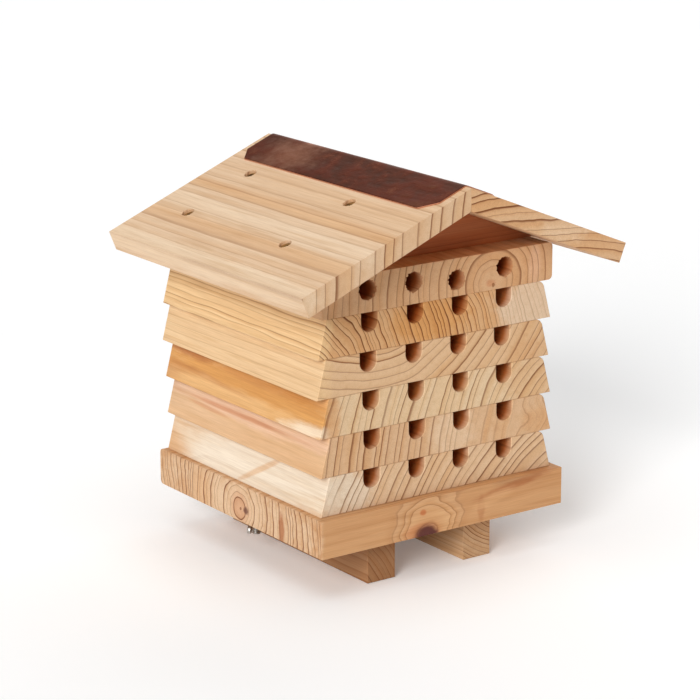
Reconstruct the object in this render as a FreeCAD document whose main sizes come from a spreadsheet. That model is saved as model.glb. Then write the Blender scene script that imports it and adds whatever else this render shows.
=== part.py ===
"""A small roofed hive for solitary bees, in wood, clamped together by two rods with wing nuts.

Five grooved trays nest between a base board on two feet and a roof head. The head is a drilled
block, two gables, two roof boards and a folded copper ridge cap. Two rods hang from the block,
run down through the trays and the base, and take a washer and a wing nut each.

Frame: millimetres, +Z up, -Y is the front with the nesting holes. The origin is on the ground, in
the middle of the roof's plan.
"""
import FreeCAD, Part

import os
import re

import Sketcher

Vector = FreeCAD.Vector
Rotation = FreeCAD.Rotation
Placement = FreeCAD.Placement

SIZES = [
    # the stack of trays
    ("tray_height", 20.0, "thickness of one tray"),
    ("tray_width_low", 145.0, "width of a tray at its underside"),
    ("tray_width_high", 134.4, "width of a tray at its top face, after the side bevels"),
    ("tray_depth", 142.2, "front to back, trays and drilled block alike"),
    ("tray_shift_one", -1.4, "sideways play taken up by the top tray"),
    ("tray_shift_two", -2.2, "the same, second tray"),
    ("tray_shift_three", -0.6, "the same, third tray"),
    ("tray_shift_four", 0.0, "the same, fourth tray"),
    ("tray_shift_five", -0.1, "the same, bottom tray"),
    # nesting holes
    ("nest_width", 10.0, "width of a groove and diameter of a drilled hole"),
    ("nest_spacing", 27.8, "from one groove or hole to the next"),
    ("groove_depth", 10.0, "from a tray's top face to the bottom of its grooves"),
    ("nest_length", 122.0, "from the front face to the blind end"),
    ("nest_rise", 10.4, "height of the drilled holes above the block's underside"),
    ("hole_drift_one", -2.6, "how far the leftmost drilled hole wandered sideways"),
    ("hole_drift_two", -2.4, "the same, second hole"),
    ("hole_drift_three", -3.6, "the same, third hole"),
    ("hole_drift_four", -1.1, "the same, fourth hole"),
    ("hole_lift_one", 0.8, "how far the leftmost drilled hole wandered upwards"),
    ("hole_lift_two", 0.8, "the same, second hole"),
    ("hole_lift_three", -2.0, "the same, third hole"),
    ("hole_lift_four", 0.5, "the same, fourth hole"),
    # drilled block
    ("block_width", 143.2, "width of the drilled block"),
    ("block_height", 19.5, "thickness of the drilled block"),
    # base and feet
    ("base_width", 151.8, "left to right"),
    ("base_depth", 150.4, "front to back"),
    ("base_thickness", 19.5, "thickness of the base board"),
    ("base_forward", 1.4, "the base's middle stands this far in front of the trays' middle"),
    ("foot_width", 17.2, "width of a foot"),
    ("foot_height", 24.0, "height of a foot"),
    ("foot_gap", 43.6, "between the two feet"),
    ("foot_inset", 13.0, "from the base's front and back edges to the ends of a foot"),
    # roof
    ("roof_pitch", 22.1, "slope of the roof in degrees"),
    ("roof_slope", 107.6, "ridge to eave, along a board's top face"),
    ("roof_length", 176.0, "front to back"),
    ("roof_board", 10.8, "thickness of a roof board"),
    ("roof_forward", 7.3, "the roof's middle stands this far in front of the trays' middle"),
    ("gable_thickness", 28.0, "front to back"),
    ("gable_recess", 16.0, "from the block's front face back to the front gable"),
    ("gable_recess_rear", 9.5, "from the block's back face forward to the rear gable"),
    ("cap_reach", 25.8, "copper cap, down each slope from the ridge"),
    ("cap_sheet", 0.8, "thickness of the copper sheet"),
    ("cap_inset", 4.2, "from the roof's ends to the ends of the cap"),
    ("cap_clip", 8.2, "legs of the corners clipped off the cap"),
    # wood screws
    ("screw_shank", 3.5, "shank diameter"),
    ("screw_head", 6.4, "head diameter"),
    ("screw_head_height", 2.2, "height of the countersunk head"),
    ("screw_point", 4.0, "length of the pointed tip"),
    ("gable_screw_length", 30.0, "gable screws, head to tip"),
    ("foot_screw_length", 38.0, "foot screws, head to tip"),
    ("screw_play", 0.05, "between a screw and the wood around it, all round"),
    ("roof_screw_sink", 1.6, "roof screw heads lie this far below the surface"),
    ("roof_screw_cover", 2.36, "wood left between the lower roof screws' tips and the block's underside"),
    ("roof_screw_high", 34.5, "upper roof screws, down the slope from the ridge"),
    ("roof_screw_low", 76.0, "lower roof screws, down the slope from the ridge"),
    ("roof_screw_back", 2.5, "roof screws stand this far behind the middle of a gable"),
    ("gable_screw_forward", 7.0, "gable screws stand this far in front of the middle of a gable"),
    ("foot_screw_spread", 84.0, "between the two screws of one foot"),
    # clamp rods, washers and wing nuts
    ("rod_diameter", 5.0, "clamp rod"),
    ("rod_spread", 116.0, "between the two rods"),
    ("rod_back", 8.8, "the rods stand this far behind the trays' middle"),
    ("rod_play_tray", 2.3, "between a rod and its hole in a tray, all round, so that trays can shift"),
    ("rod_play_base", 0.5, "between a rod and its hole in the base board, all round"),
    ("rod_play", 0.05, "between a rod and its hole in the drilled block, all round"),
    ("rod_end", 13.6, "the rod's end stands this far below the base board"),
    ("rod_bevel", 0.6, "bevel at the rod's end"),
    ("rod_head", 13.0, "diameter of the domed head"),
    ("rod_head_height", 3.0, "height of the domed head"),
    ("rod_neck", 3.5, "height of the square neck under the head"),
    ("rod_head_play", 0.8, "between the head and its recess in the block, all round"),
    ("rod_head_sink", 0.6, "the head's top lies this far below the block's top face"),
    ("washer_outer", 15.0, "washer outer diameter"),
    ("washer_play", 0.15, "between a rod and its washer, all round"),
    ("washer_thickness", 1.2, "washer thickness"),
    ("nut_play", 0.05, "between a rod and the bore of its wing nut, all round"),
    ("nut_seat", 10.4, "hub diameter at the washer"),
    ("nut_nose", 8.2, "hub diameter at the free end"),
    ("nut_hub", 6.4, "height of the hub"),
    ("nut_wing_reach", 12.0, "from the rod's axis to a wing's tip"),
    ("nut_wing_height", 9.2, "from the washer to the far end of the wings"),
    ("nut_wing_tip", 1.7, "radius of a wing's rounded tip"),
    ("nut_wing_thickness", 2.0, "thickness of a wing"),
    ("nut_wing_clear", 1.0, "the wings' inner corners stand this far off the washer"),
    ("nut_wing_root", 1.5, "the wings' lower edge leaves this far outside the hub"),
    ("nut_wing_web", 0.6, "the wings' upper edge leaves this far outside the hub"),
    ("nut_wing_turn", 37.0, "degrees that the wings stand turned from the row of rods"),
]

# Heights and places that several pieces share, worked out from the sizes above.
DERIVED = [
    ("base_low", "=foot_height"),
    ("tray_low", "=base_low + base_thickness"),
    ("block_low", "=tray_low + {trays} * tray_height"),
    ("gable_low", "=block_low + block_height"),
    ("gable_height", "=block_width / 2 * tan(roof_pitch)"),
    ("ridge_height", "=gable_low + gable_height + roof_board / cos(roof_pitch)"),
    ("stack_middle", "=roof_forward"),
    ("base_middle", "=stack_middle - base_forward"),
    ("gable_front_middle", "=stack_middle - tray_depth / 2 + gable_recess + gable_thickness / 2"),
    ("gable_rear_middle", "=stack_middle + tray_depth / 2 - gable_recess_rear - gable_thickness / 2"),
    ("rod_middle", "=stack_middle + rod_back"),
    ("foot_middle", "=(foot_gap + foot_width) / 2"),
    ("rod_hole_tray", "=rod_diameter + 2 * rod_play_tray"),
    ("rod_hole_base", "=rod_diameter + 2 * rod_play_base"),
    ("rod_pocket", "=rod_head + 2 * rod_head_play"),
    ("rod_pocket_depth", "=rod_head_height + rod_head_sink"),
    ("washer_bore", "=rod_diameter + 2 * washer_play"),
    ("roof_screw_drop", "=ridge_height - roof_screw_low * sin(roof_pitch) - block_low - roof_screw_cover"),
    ("roof_screw_length", "=roof_screw_drop / cos(roof_pitch) - roof_screw_sink"),
    ("screw_bore", "=screw_shank + 2 * screw_play"),
    ("head_bore", "=screw_head + 2 * screw_play"),
]

TRAY_SHIFTS = ["tray_shift_one", "tray_shift_two", "tray_shift_three", "tray_shift_four", "tray_shift_five"]
HOLE_WORDS = ["one", "two", "three", "four"]
NESTS_ACROSS = [-1.5, -0.5, 0.5, 1.5]
SIDES = {"left": -1, "right": 1}
GABLES = ["gable_front_middle", "gable_rear_middle"]

# Outlines drawn as shares of a piece's own size: (share of the radius, share of the height).
HEAD_DOME = [("1", "0"), ("0.92", "0.4"), ("0.67", "0.85"), ("0", "1")]
WING_LOWER, WING_UPPER, WING_INNER = "0.3", "0.75", "0.9"

doc = FreeCAD.newDocument("BeeHive")


def make_sheet():
    """The spreadsheet that holds every driving size, and the places worked out from them."""
    sheet = doc.addObject("Spreadsheet::Sheet", "Sizes")
    derived = [(name, formula.format(trays=len(TRAY_SHIFTS)), "worked out") for name, formula in DERIVED]
    for row, (alias, content, meaning) in enumerate(SIZES + derived, start=1):
        sheet.set(f"A{row}", alias)
        sheet.set(f"B{row}", str(content))
        sheet.set(f"C{row}", meaning)
        sheet.setAlias(f"B{row}", alias)
    doc.recompute()
    return sheet


sheet = make_sheet()
ALIASES = {name for name, *rest in SIZES + DERIVED}


def linked(formula):
    """A formula on the sheet's names as an expression for an object outside the sheet."""
    return re.sub(r"[a-z_]+", lambda word: f"Sizes.{word[0]}" if word[0] in ALIASES else word[0], formula)


def number(formula):
    """The value of a formula on the sheet's names."""
    return float(sheet.evalExpression(linked(formula)))


def bind(item, field, formula):
    """Tie one property of an object to the sheet."""
    item.setExpression(field, linked(formula))


def place(item, x="0", y="0", z="0", axis=None, angle="0"):
    """Tie an object's place, and its turn about one axis, to the sheet."""
    if axis is not None:
        item.Placement = Placement(Vector(), Rotation(axis, number(angle)))
        bind(item, "Placement.Rotation.Angle", angle)
    for letter, formula in (("x", x), ("y", y), ("z", z)):
        bind(item, f"Placement.Base.{letter}", formula)


# ---------------------------------------------------------------- sketches and features


def start_body(label):
    """An empty part body; its Label names the file."""
    body = doc.addObject("PartDesign::Body", label)
    body.Label = label
    return body


def start_sketch(body, name, plane, level="0"):
    """A sketch on one of the body's own origin planes, moved out along the plane's normal."""
    sketch = body.newObject("Sketcher::SketchObject", name)
    support = next(f for f in body.Origin.OriginFeatures if f.Role == plane)
    sketch.AttachmentSupport = [(support, "")]
    sketch.MapMode = "FlatFace"
    bind(sketch, "AttachmentOffset.Base.z", level)
    return sketch


def dimension(sketch, kind, geometry, point, formula):
    """Dimension a point of the sketch from its origin."""
    index = sketch.addConstraint(Sketcher.Constraint(kind, -1, 1, geometry, point, number(formula)))
    bind(sketch, f"Constraints[{index}]", formula)


def outline(sketch, corners):
    """A closed outline of straight lines through corners given as (x, y) formulas."""
    points = [Vector(number(x), number(y), 0) for x, y in corners]
    first = sketch.GeometryCount
    count = len(points)
    for index in range(count):
        sketch.addGeometry(Part.LineSegment(points[index], points[(index + 1) % count]))
    for index in range(count):
        following = first + (index + 1) % count
        sketch.addConstraint(Sketcher.Constraint("Coincident", first + index, 2, following, 1))
    for index, (x, y) in enumerate(corners):
        dimension(sketch, "DistanceX", first + index, 1, x)
        dimension(sketch, "DistanceY", first + index, 1, y)


def circle(sketch, x, y, diameter):
    """A circle whose middle and diameter are formulas."""
    middle = Vector(number(x), number(y), 0)
    ring = sketch.addGeometry(Part.Circle(middle, Vector(0, 0, 1), number(diameter) / 2))
    dimension(sketch, "DistanceX", ring, 3, x)
    dimension(sketch, "DistanceY", ring, 3, y)
    index = sketch.addConstraint(Sketcher.Constraint("Diameter", ring, number(diameter)))
    bind(sketch, f"Constraints[{index}]", diameter)


def pad(body, sketch, length, symmetric=False):
    """Extrude a sketch."""
    feature = body.newObject("PartDesign::Pad", f"{sketch.Name}_pad")
    feature.Profile = sketch
    feature.SideType = "Symmetric" if symmetric else "One side"
    bind(feature, "Length", length)
    doc.recompute()
    return feature


def pocket(body, sketch, length=None, reverse=False):
    """Cut a sketch into the body, to a length or right through, and see that it did cut."""
    before = body.Shape.Volume
    feature = body.newObject("PartDesign::Pocket", f"{sketch.Name}_cut")
    feature.Profile = sketch
    feature.Reversed = reverse
    if length is None:
        feature.Type = "ThroughAll"
    else:
        bind(feature, "Length", length)
    doc.recompute()
    if not body.Shape.Volume < before:
        raise RuntimeError(f"{feature.Name} cuts nothing")
    return feature


def revolve(body, sketch):
    """Turn a sketch once about the body's own vertical axis."""
    feature = body.newObject("PartDesign::Revolution", f"{sketch.Name}_turned")
    feature.Profile = sketch
    feature.ReferenceAxis = (sketch, ["V_Axis"])
    feature.Angle = 360
    doc.recompute()
    return feature


def sunk_holes(body, sketch, counterbore=None, reverse=False):
    """Drill screw holes right through, with a cone for each head, or a flat-bottomed counterbore."""
    doc.recompute()
    before = body.Shape.Volume
    feature = body.newObject("PartDesign::Hole", f"{sketch.Name}_holes")
    feature.Profile = sketch
    doc.recompute()
    feature.Reversed = reverse
    feature.DepthType = "ThroughAll"
    feature.HoleCutType = "Counterbore" if counterbore else "Countersink"
    feature.HoleCutCustomValues = True
    bind(feature, "Diameter", "screw_bore")
    bind(feature, "HoleCutDiameter", "head_bore")
    if counterbore:
        bind(feature, "HoleCutDepth", counterbore)
    else:
        cone = "2 * atan((screw_head - screw_shank) / 2 / screw_head_height)"
        bind(feature, "HoleCutCountersinkAngle", cone)
    doc.recompute()
    if not body.Shape.Volume < before:
        raise RuntimeError(f"{feature.Name} cuts nothing")
    return feature


# ---------------------------------------------------------------- screws


def wood_screw(name, length):
    """One countersunk screw along -Z, the top of its head at its own origin."""
    head = doc.addObject("Part::Cone", f"{name}_head")
    bind(head, "Radius1", "screw_shank / 2")
    bind(head, "Radius2", "screw_head / 2")
    bind(head, "Height", "screw_head_height")
    place(head, z="-1 * screw_head_height")
    shank = doc.addObject("Part::Cylinder", f"{name}_shank")
    bind(shank, "Radius", "screw_shank / 2")
    bind(shank, "Height", f"{length} - screw_head_height - screw_point")
    place(shank, z=f"screw_point - {length}")
    point = doc.addObject("Part::Cone", f"{name}_point")
    point.Radius1 = 0
    bind(point, "Radius2", "screw_shank / 2")
    bind(point, "Height", "screw_point")
    place(point, z=f"-1 * {length}")
    screw = doc.addObject("Part::MultiFuse", name)
    screw.Shapes = [head, shank, point]
    screw.Refine = True
    return screw


def screw_pilot(name, length):
    """The room that one screw takes in the wood, with its play, along -Z from its head."""
    bore = doc.addObject("Part::Cylinder", name)
    bind(bore, "Radius", "screw_bore / 2")
    bind(bore, "Height", f"{length} + screw_play")
    return bore


def below(where, depth):
    """The place that lies this deep along a screw that starts at the given place."""
    turn = where.get("angle", "0")
    across = {"x": f"{where['x']} - {depth} * sin({turn})"} if "angle" in where else {}
    return dict(where, z=f"{where['z']} - {depth} * cos({turn})", **across)


def screw_set(label, length, places, upward=False):
    """Screws that share one label, and their pilot bores. A place is keywords for place()."""
    screws = []
    pilots = []
    for index, where in enumerate(places, start=1):
        screw = wood_screw(f"{label}_{index}", length)
        pilot = screw_pilot(f"{label}_{index}_pilot", length)
        if upward:
            place(screw, axis=Vector(1, 0, 0), angle="180", **where)
            place(pilot, **where)
        else:
            place(screw, **where)
            place(pilot, **below(where, f"({length} + screw_play)"))
        screws.append(screw)
        pilots.append(pilot)
    group = doc.addObject("Part::Compound", label)
    group.Label = label
    group.Links = screws
    return group, pilots


def drilled_for(body, label, pilots):
    """The body with the pilot bores of the screws that reach into it."""
    body.Label = f"{label}_blank"
    tools = doc.addObject("Part::Compound", f"{label}_pilots")
    tools.Links = pilots
    result = doc.addObject("Part::Cut", label)
    result.Base = body
    result.Tool = tools
    result.Label = label
    return result


# ---------------------------------------------------------------- base


def base_board():
    """The board that everything stands on, with rod holes and sunk holes for the foot screws."""
    body = start_body("base_board")
    sketch = start_sketch(body, "base_plan", "XY_Plane")
    half_x = "base_width / 2"
    half_y = "base_depth / 2"
    outline(sketch, [
        (f"-1 * {half_x}", f"-1 * {half_y}"),
        (half_x, f"-1 * {half_y}"),
        (half_x, half_y),
        (f"-1 * {half_x}", half_y),
    ])
    pad(body, sketch, "base_thickness")
    rods = start_sketch(body, "base_rods", "XY_Plane", "base_thickness")
    for sign in SIDES.values():
        circle(rods, f"{sign} * rod_spread / 2", "rod_middle - base_middle", "rod_hole_base")
    pocket(body, rods)
    screws = start_sketch(body, "base_screws", "XY_Plane", "base_thickness")
    for sign in SIDES.values():
        for end in (-1, 1):
            circle(screws, f"{sign} * foot_middle", f"{end} * foot_screw_spread / 2", "screw_bore")
    sunk_holes(body, screws)
    place(body, y="base_middle", z="base_low")
    return body


def foot(side, pilots):
    """A batten under the base, running front to back."""
    sign = SIDES[side]
    body = start_body(f"{side}_foot")
    sketch = start_sketch(body, f"{side}_foot_section", "XZ_Plane")
    half = "foot_width / 2"
    outline(sketch, [
        (f"-1 * {half}", "0"),
        (half, "0"),
        (half, "foot_height"),
        (f"-1 * {half}", "foot_height"),
    ])
    pad(body, sketch, "base_depth - 2 * foot_inset", symmetric=True)
    place(body, x=f"{sign} * foot_middle", y="base_middle")
    return drilled_for(body, f"{side}_foot", pilots)


def foot_screws():
    """Four screws, down through the base board into the feet."""
    places = []
    for sign in SIDES.values():
        for end in (-1, 1):
            y = f"base_middle + {end} * foot_screw_spread / 2"
            places.append({"x": f"{sign} * foot_middle", "y": y, "z": "tray_low"})
    return screw_set("foot_screws", "foot_screw_length", places)


# ---------------------------------------------------------------- trays


def tray(index):
    """A nesting tray: bevelled sides, four blind U-grooves in its top face, two rod holes."""
    shift = TRAY_SHIFTS[index - 1]
    label = f"tray_{index}"
    body = start_body(label)
    section = start_sketch(body, f"{label}_section", "XZ_Plane")
    outline(section, [
        ("-1 * tray_width_low / 2", "0"),
        ("tray_width_low / 2", "0"),
        ("tray_width_high / 2", "tray_height"),
        ("-1 * tray_width_high / 2", "tray_height"),
    ])
    pad(body, section, "tray_depth", symmetric=True)
    middle = "tray_height - groove_depth + nest_width / 2"
    for number_across, across in enumerate(NESTS_ACROSS, start=1):
        x = f"{across} * nest_spacing"
        slot = start_sketch(body, f"{label}_slot_{number_across}", "XZ_Plane", "tray_depth / 2")
        outline(slot, [
            (f"{x} - nest_width / 2", middle),
            (f"{x} + nest_width / 2", middle),
            (f"{x} + nest_width / 2", "tray_height"),
            (f"{x} - nest_width / 2", "tray_height"),
        ])
        pocket(body, slot, "nest_length")
        floor = start_sketch(body, f"{label}_floor_{number_across}", "XZ_Plane", "tray_depth / 2")
        circle(floor, x, middle, "nest_width")
        pocket(body, floor, "nest_length")
    rods = start_sketch(body, f"{label}_rods", "XY_Plane", "tray_height")
    for sign in SIDES.values():
        circle(rods, f"{sign} * rod_spread / 2", "rod_back", "rod_hole_tray")
    pocket(body, rods)
    place(body, x=shift, y="stack_middle", z=f"block_low - {index} * tray_height")
    return body


# ---------------------------------------------------------------- roof head


def drilled_block(pilots):
    """The top board of the stack: four drilled nesting holes, and the rods' heads in its top."""
    body = start_body("drilled_block_blank")
    section = start_sketch(body, "block_section", "XZ_Plane")
    outline(section, [
        ("-1 * block_width / 2", "0"),
        ("block_width / 2", "0"),
        ("block_width / 2", "block_height"),
        ("-1 * block_width / 2", "block_height"),
    ])
    pad(body, section, "tray_depth", symmetric=True)
    holes = start_sketch(body, "block_holes", "XZ_Plane", "tray_depth / 2")
    for across, word in zip(NESTS_ACROSS, HOLE_WORDS):
        x = f"{across} * nest_spacing + hole_drift_{word}"
        circle(holes, x, f"nest_rise + hole_lift_{word}", "nest_width")
    pocket(body, holes, "nest_length")
    rods = start_sketch(body, "block_rods", "XY_Plane", "block_height")
    heads = start_sketch(body, "block_rod_heads", "XY_Plane", "block_height")
    for sign in SIDES.values():
        circle(rods, f"{sign} * rod_spread / 2", "rod_back", "rod_diameter * sqrt(2) + 2 * rod_play")
        circle(heads, f"{sign} * rod_spread / 2", "rod_back", "rod_pocket")
    pocket(body, rods)
    pocket(body, heads, "rod_pocket_depth")
    screws = start_sketch(body, "block_gable_screws", "XY_Plane")
    for middle in GABLES:
        for sign in SIDES.values():
            y = f"{middle} - gable_screw_forward - stack_middle"
            circle(screws, f"{sign} * nest_spacing", y, "screw_bore")
    sunk_holes(body, screws, reverse=True)
    place(body, y="stack_middle", z="block_low")
    return drilled_for(body, "drilled_block", pilots)


def gable(label, middle, pilots):
    """A triangular block that carries the roof boards."""
    body = start_body(f"{label}_blank")
    section = start_sketch(body, f"{label}_section", "XZ_Plane")
    outline(section, [
        ("-1 * block_width / 2", "0"),
        ("block_width / 2", "0"),
        ("0", "gable_height"),
    ])
    pad(body, section, "gable_thickness", symmetric=True)
    place(body, y=middle, z="gable_low")
    return drilled_for(body, label, pilots)


def gable_screws():
    """Four screws, up through the drilled block into the gables, two to each."""
    places = []
    for middle in GABLES:
        for sign in SIDES.values():
            places.append({
                "x": f"{sign} * nest_spacing",
                "y": f"{middle} - gable_screw_forward",
                "z": "block_low",
            })
    return screw_set("gable_screws", "gable_screw_length", places, upward=True)


def roof_board(side):
    """A sloping board: upright mitre at the ridge, square cut at the eave, sunk screw holes."""
    sign = SIDES[side]
    body = start_body(f"{side}_roof_board")
    section = start_sketch(body, f"{side}_roof_section", "XZ_Plane")
    outline(section, [
        ("0", "0"),
        (f"{sign} * roof_slope", "0"),
        (f"{sign} * roof_slope", "-1 * roof_board"),
        (f"{sign} * roof_board * tan(roof_pitch)", "-1 * roof_board"),
    ])
    pad(body, section, "roof_length", symmetric=True)
    screws = start_sketch(body, f"{side}_roof_screw_holes", "XY_Plane")
    for middle in GABLES:
        for slope in ("roof_screw_high", "roof_screw_low"):
            circle(screws, f"{sign} * {slope}", f"{middle} + roof_screw_back", "screw_bore")
    sunk_holes(body, screws, counterbore="roof_screw_sink + screw_head_height")
    place(body, z="ridge_height", axis=Vector(0, 1, 0), angle=f"{sign} * roof_pitch")
    return body


def roof_screws(side):
    """Four screws, square to the slope, through a roof board into the gables."""
    sign = SIDES[side]
    places = []
    for middle in GABLES:
        for slope in ("roof_screw_high", "roof_screw_low"):
            run = f"({slope} * cos(roof_pitch) - roof_screw_sink * sin(roof_pitch))"
            drop = f"({slope} * sin(roof_pitch) + roof_screw_sink * cos(roof_pitch))"
            places.append({
                "x": f"{sign} * {run}",
                "y": f"{middle} + roof_screw_back",
                "z": f"ridge_height - {drop}",
                "axis": Vector(0, 1, 0),
                "angle": f"{sign} * roof_pitch",
            })
    return screw_set(f"{side}_roof_screws", "roof_screw_length", places)


def ridge_cap():
    """A copper sheet folded over the ridge, its four corners clipped."""
    body = start_body("ridge_cap")
    section = start_sketch(body, "cap_section", "XZ_Plane")
    run = "cap_reach * cos(roof_pitch)"
    drop = "cap_reach * sin(roof_pitch)"
    rise = "cap_sheet * cos(roof_pitch)"
    outward = "cap_sheet * sin(roof_pitch)"
    outline(section, [
        ("0", "0"),
        (run, f"-1 * {drop}"),
        (f"{run} + {outward}", f"{rise} - {drop}"),
        ("0", "cap_sheet / cos(roof_pitch)"),
        (f"-1 * {run} - {outward}", f"{rise} - {drop}"),
        (f"-1 * {run}", f"-1 * {drop}"),
    ])
    pad(body, section, "roof_length - 2 * cap_inset", symmetric=True)
    corners = start_sketch(body, "cap_corners", "XY_Plane", "cap_sheet / cos(roof_pitch)")
    end = "(roof_length / 2 - cap_inset)"
    edge = f"({run} + {outward})"
    for sign_x in (-1, 1):
        for sign_y in (-1, 1):
            outline(corners, [
                (f"{sign_x} * ({edge} - cap_clip * cos(roof_pitch))", f"{sign_y} * {end}"),
                (f"{sign_x} * {edge}", f"{sign_y} * ({end} - cap_clip)"),
                (f"{sign_x} * {edge}", f"{sign_y} * {end}"),
            ])
    pocket(body, corners)
    place(body, z="ridge_height")
    return body


# ---------------------------------------------------------------- clamp rods and wing nuts


def clamp_rod(side):
    """A rod with a domed head and a square neck, hanging from the drilled block."""
    sign = SIDES[side]
    body = start_body(f"{side}_rod")
    square = start_sketch(body, f"{side}_rod_neck", "XY_Plane")
    half = "rod_diameter / 2"
    outline(square, [
        (f"-1 * {half}", f"-1 * {half}"),
        (half, f"-1 * {half}"),
        (half, half),
        (f"-1 * {half}", half),
    ])
    neck = pad(body, square, "rod_neck")
    neck.Reversed = True
    profile = start_sketch(body, f"{side}_rod_profile", "XZ_Plane")
    end = "base_low - rod_end - gable_low + rod_pocket_depth"
    dome = [(f"{across} * rod_head / 2", f"{up} * rod_head_height") for across, up in HEAD_DOME]
    outline(profile, [
        ("0", end),
        ("rod_diameter / 2 - rod_bevel", end),
        ("rod_diameter / 2", f"{end} + rod_bevel"),
        ("rod_diameter / 2", "0"),
    ] + dome)
    revolve(body, profile)
    place(body, x=f"{sign} * rod_spread / 2", y="rod_middle", z="gable_low - rod_pocket_depth")
    return body


def washer(side):
    """A flat ring between the base board and a wing nut."""
    sign = SIDES[side]
    body = start_body(f"{side}_washer")
    ring = start_sketch(body, f"{side}_washer_plan", "XY_Plane")
    circle(ring, "0", "0", "washer_outer")
    circle(ring, "0", "0", "washer_bore")
    pad(body, ring, "washer_thickness")
    place(body, x=f"{sign} * rod_spread / 2", y="rod_middle", z="base_low - washer_thickness")
    return body


def wing_nut(side):
    """A tapered hub with two rounded wings that sweep out and away from the washer."""
    sign = SIDES[side]
    body = start_body(f"{side}_wing_nut")
    wings = start_sketch(body, f"{side}_nut_wings", "XZ_Plane")
    tip_x = "(nut_wing_reach - nut_wing_tip)"
    tip_z = "(nut_wing_height - nut_wing_tip)"
    for way in (-1, 1):
        outline(wings, [
            (f"{way} * nut_nose / 4", "nut_wing_clear"),
            (f"{way} * (nut_seat / 2 + nut_wing_root)", f"nut_hub * {WING_LOWER}"),
            (f"{way} * nut_wing_reach", tip_z),
            (f"{way} * {tip_x}", "nut_wing_height"),
            (f"{way} * ({tip_x} - nut_wing_tip)", tip_z),
            (f"{way} * (nut_nose / 2 + nut_wing_web)", f"nut_hub * {WING_UPPER}"),
            (f"{way} * nut_nose / 4", f"nut_hub * {WING_INNER}"),
        ])
    hub = start_sketch(body, f"{side}_nut_hub", "XZ_Plane")
    outline(hub, [
        ("0", "0"),
        ("nut_seat / 2", "0"),
        ("nut_nose / 2", "nut_hub"),
        ("0", "nut_hub"),
    ])
    revolve(body, hub)
    pad(body, wings, "nut_wing_thickness", symmetric=True)
    bore = start_sketch(body, f"{side}_nut_bore", "XY_Plane", "nut_wing_height")
    circle(bore, "0", "0", "rod_diameter + 2 * nut_play")
    pocket(body, bore)
    return body


def hung_wing_nut(side):
    """The wing nut turned over, against its washer, with its wings at their angle."""
    sign = SIDES[side]
    nut = wing_nut(side)
    turned = Rotation(Vector(0, 0, 1), number("nut_wing_turn")) * Rotation(Vector(1, 0, 0), 180)
    nut.Placement = Placement(Vector(), turned)
    place(nut, x=f"{sign} * rod_spread / 2", y="rod_middle", z="base_low - washer_thickness")
    return nut


# ---------------------------------------------------------------- assembly


def build():
    """Make every piece and return those that are written to files."""
    foot_set, foot_pilots = foot_screws()
    gable_set, gable_pilots = gable_screws()
    pieces = [base_board(), foot_set, gable_set]
    per_foot = len(foot_pilots) // len(SIDES)
    pieces.append(foot("left", foot_pilots[:per_foot]))
    pieces.append(foot("right", foot_pilots[per_foot:]))
    pieces += [tray(index) for index in range(1, len(TRAY_SHIFTS) + 1)]
    roof_pilots = []
    for side in SIDES:
        pieces.append(roof_board(side))
        screws, pilots = roof_screws(side)
        pieces.append(screws)
        roof_pilots += pilots
        pieces += [clamp_rod(side), washer(side), hung_wing_nut(side)]
    pieces.append(ridge_cap())
    pieces.append(drilled_block(gable_pilots + roof_pilots))
    pieces.append(gable("front_gable", "gable_front_middle", gable_pilots + roof_pilots))
    pieces.append(gable("rear_gable", "gable_rear_middle", gable_pilots + roof_pilots))
    return pieces


def check(pieces):
    """Stop if any object failed, or any piece has no sound solid."""
    doc.recompute()
    for item in doc.Objects:
        if "Invalid" in item.State or "Error" in item.State:
            raise RuntimeError(f"{item.Name} failed: {item.State}")
    for piece in pieces:
        shape = piece.Shape
        if shape.isNull() or not shape.isValid() or not shape.Solids:
            raise RuntimeError(f"{piece.Label} has no valid solid")


def write(pieces):
    """Write each piece to its own file, and print its box."""
    os.makedirs("parts", exist_ok=True)
    for piece in pieces:
        box = piece.Shape.optimalBoundingBox()
        piece.Shape.exportStep(f"parts/{piece.Label}.step")
        low = f"{box.XMin:8.2f} {box.YMin:8.2f} {box.ZMin:8.2f}"
        high = f"{box.XMax:8.2f} {box.YMax:8.2f} {box.ZMax:8.2f}"
        print(f"{piece.Label:20s} solids {len(piece.Shape.Solids)}  {low}  {high}")


pieces = build()
check(pieces)
write(pieces)
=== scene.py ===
"""Looks for a small roofed bee hive: eased wooden boards with their own year rings, a copper ridge
cap, sunk cross-head screws, threaded clamp rods, washers and wing nuts, built round its CAD model.
"""

import math

import bmesh
import bpy
from bpy.props import FloatProperty, FloatVectorProperty, PointerProperty
from mathutils import Matrix, Vector, noise


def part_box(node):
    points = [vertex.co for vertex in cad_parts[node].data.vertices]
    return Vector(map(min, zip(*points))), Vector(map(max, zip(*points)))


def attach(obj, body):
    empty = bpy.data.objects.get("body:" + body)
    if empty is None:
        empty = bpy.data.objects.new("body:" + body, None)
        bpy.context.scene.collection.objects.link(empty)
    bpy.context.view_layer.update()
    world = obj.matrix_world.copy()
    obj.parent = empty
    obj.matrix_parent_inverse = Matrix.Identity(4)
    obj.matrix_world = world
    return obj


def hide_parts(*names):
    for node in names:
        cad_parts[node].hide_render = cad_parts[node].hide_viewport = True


bl_info = {
    "name": "Bee Hive Looks",
    "version": (1, 0, 0),
    "blender": (4, 5, 0),
    "location": "3D View > Sidebar > Bee Hive",
    "description": "Detailed pieces, finishes and a stage for a small roofed bee hive",
    "category": "Object",
}

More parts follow.
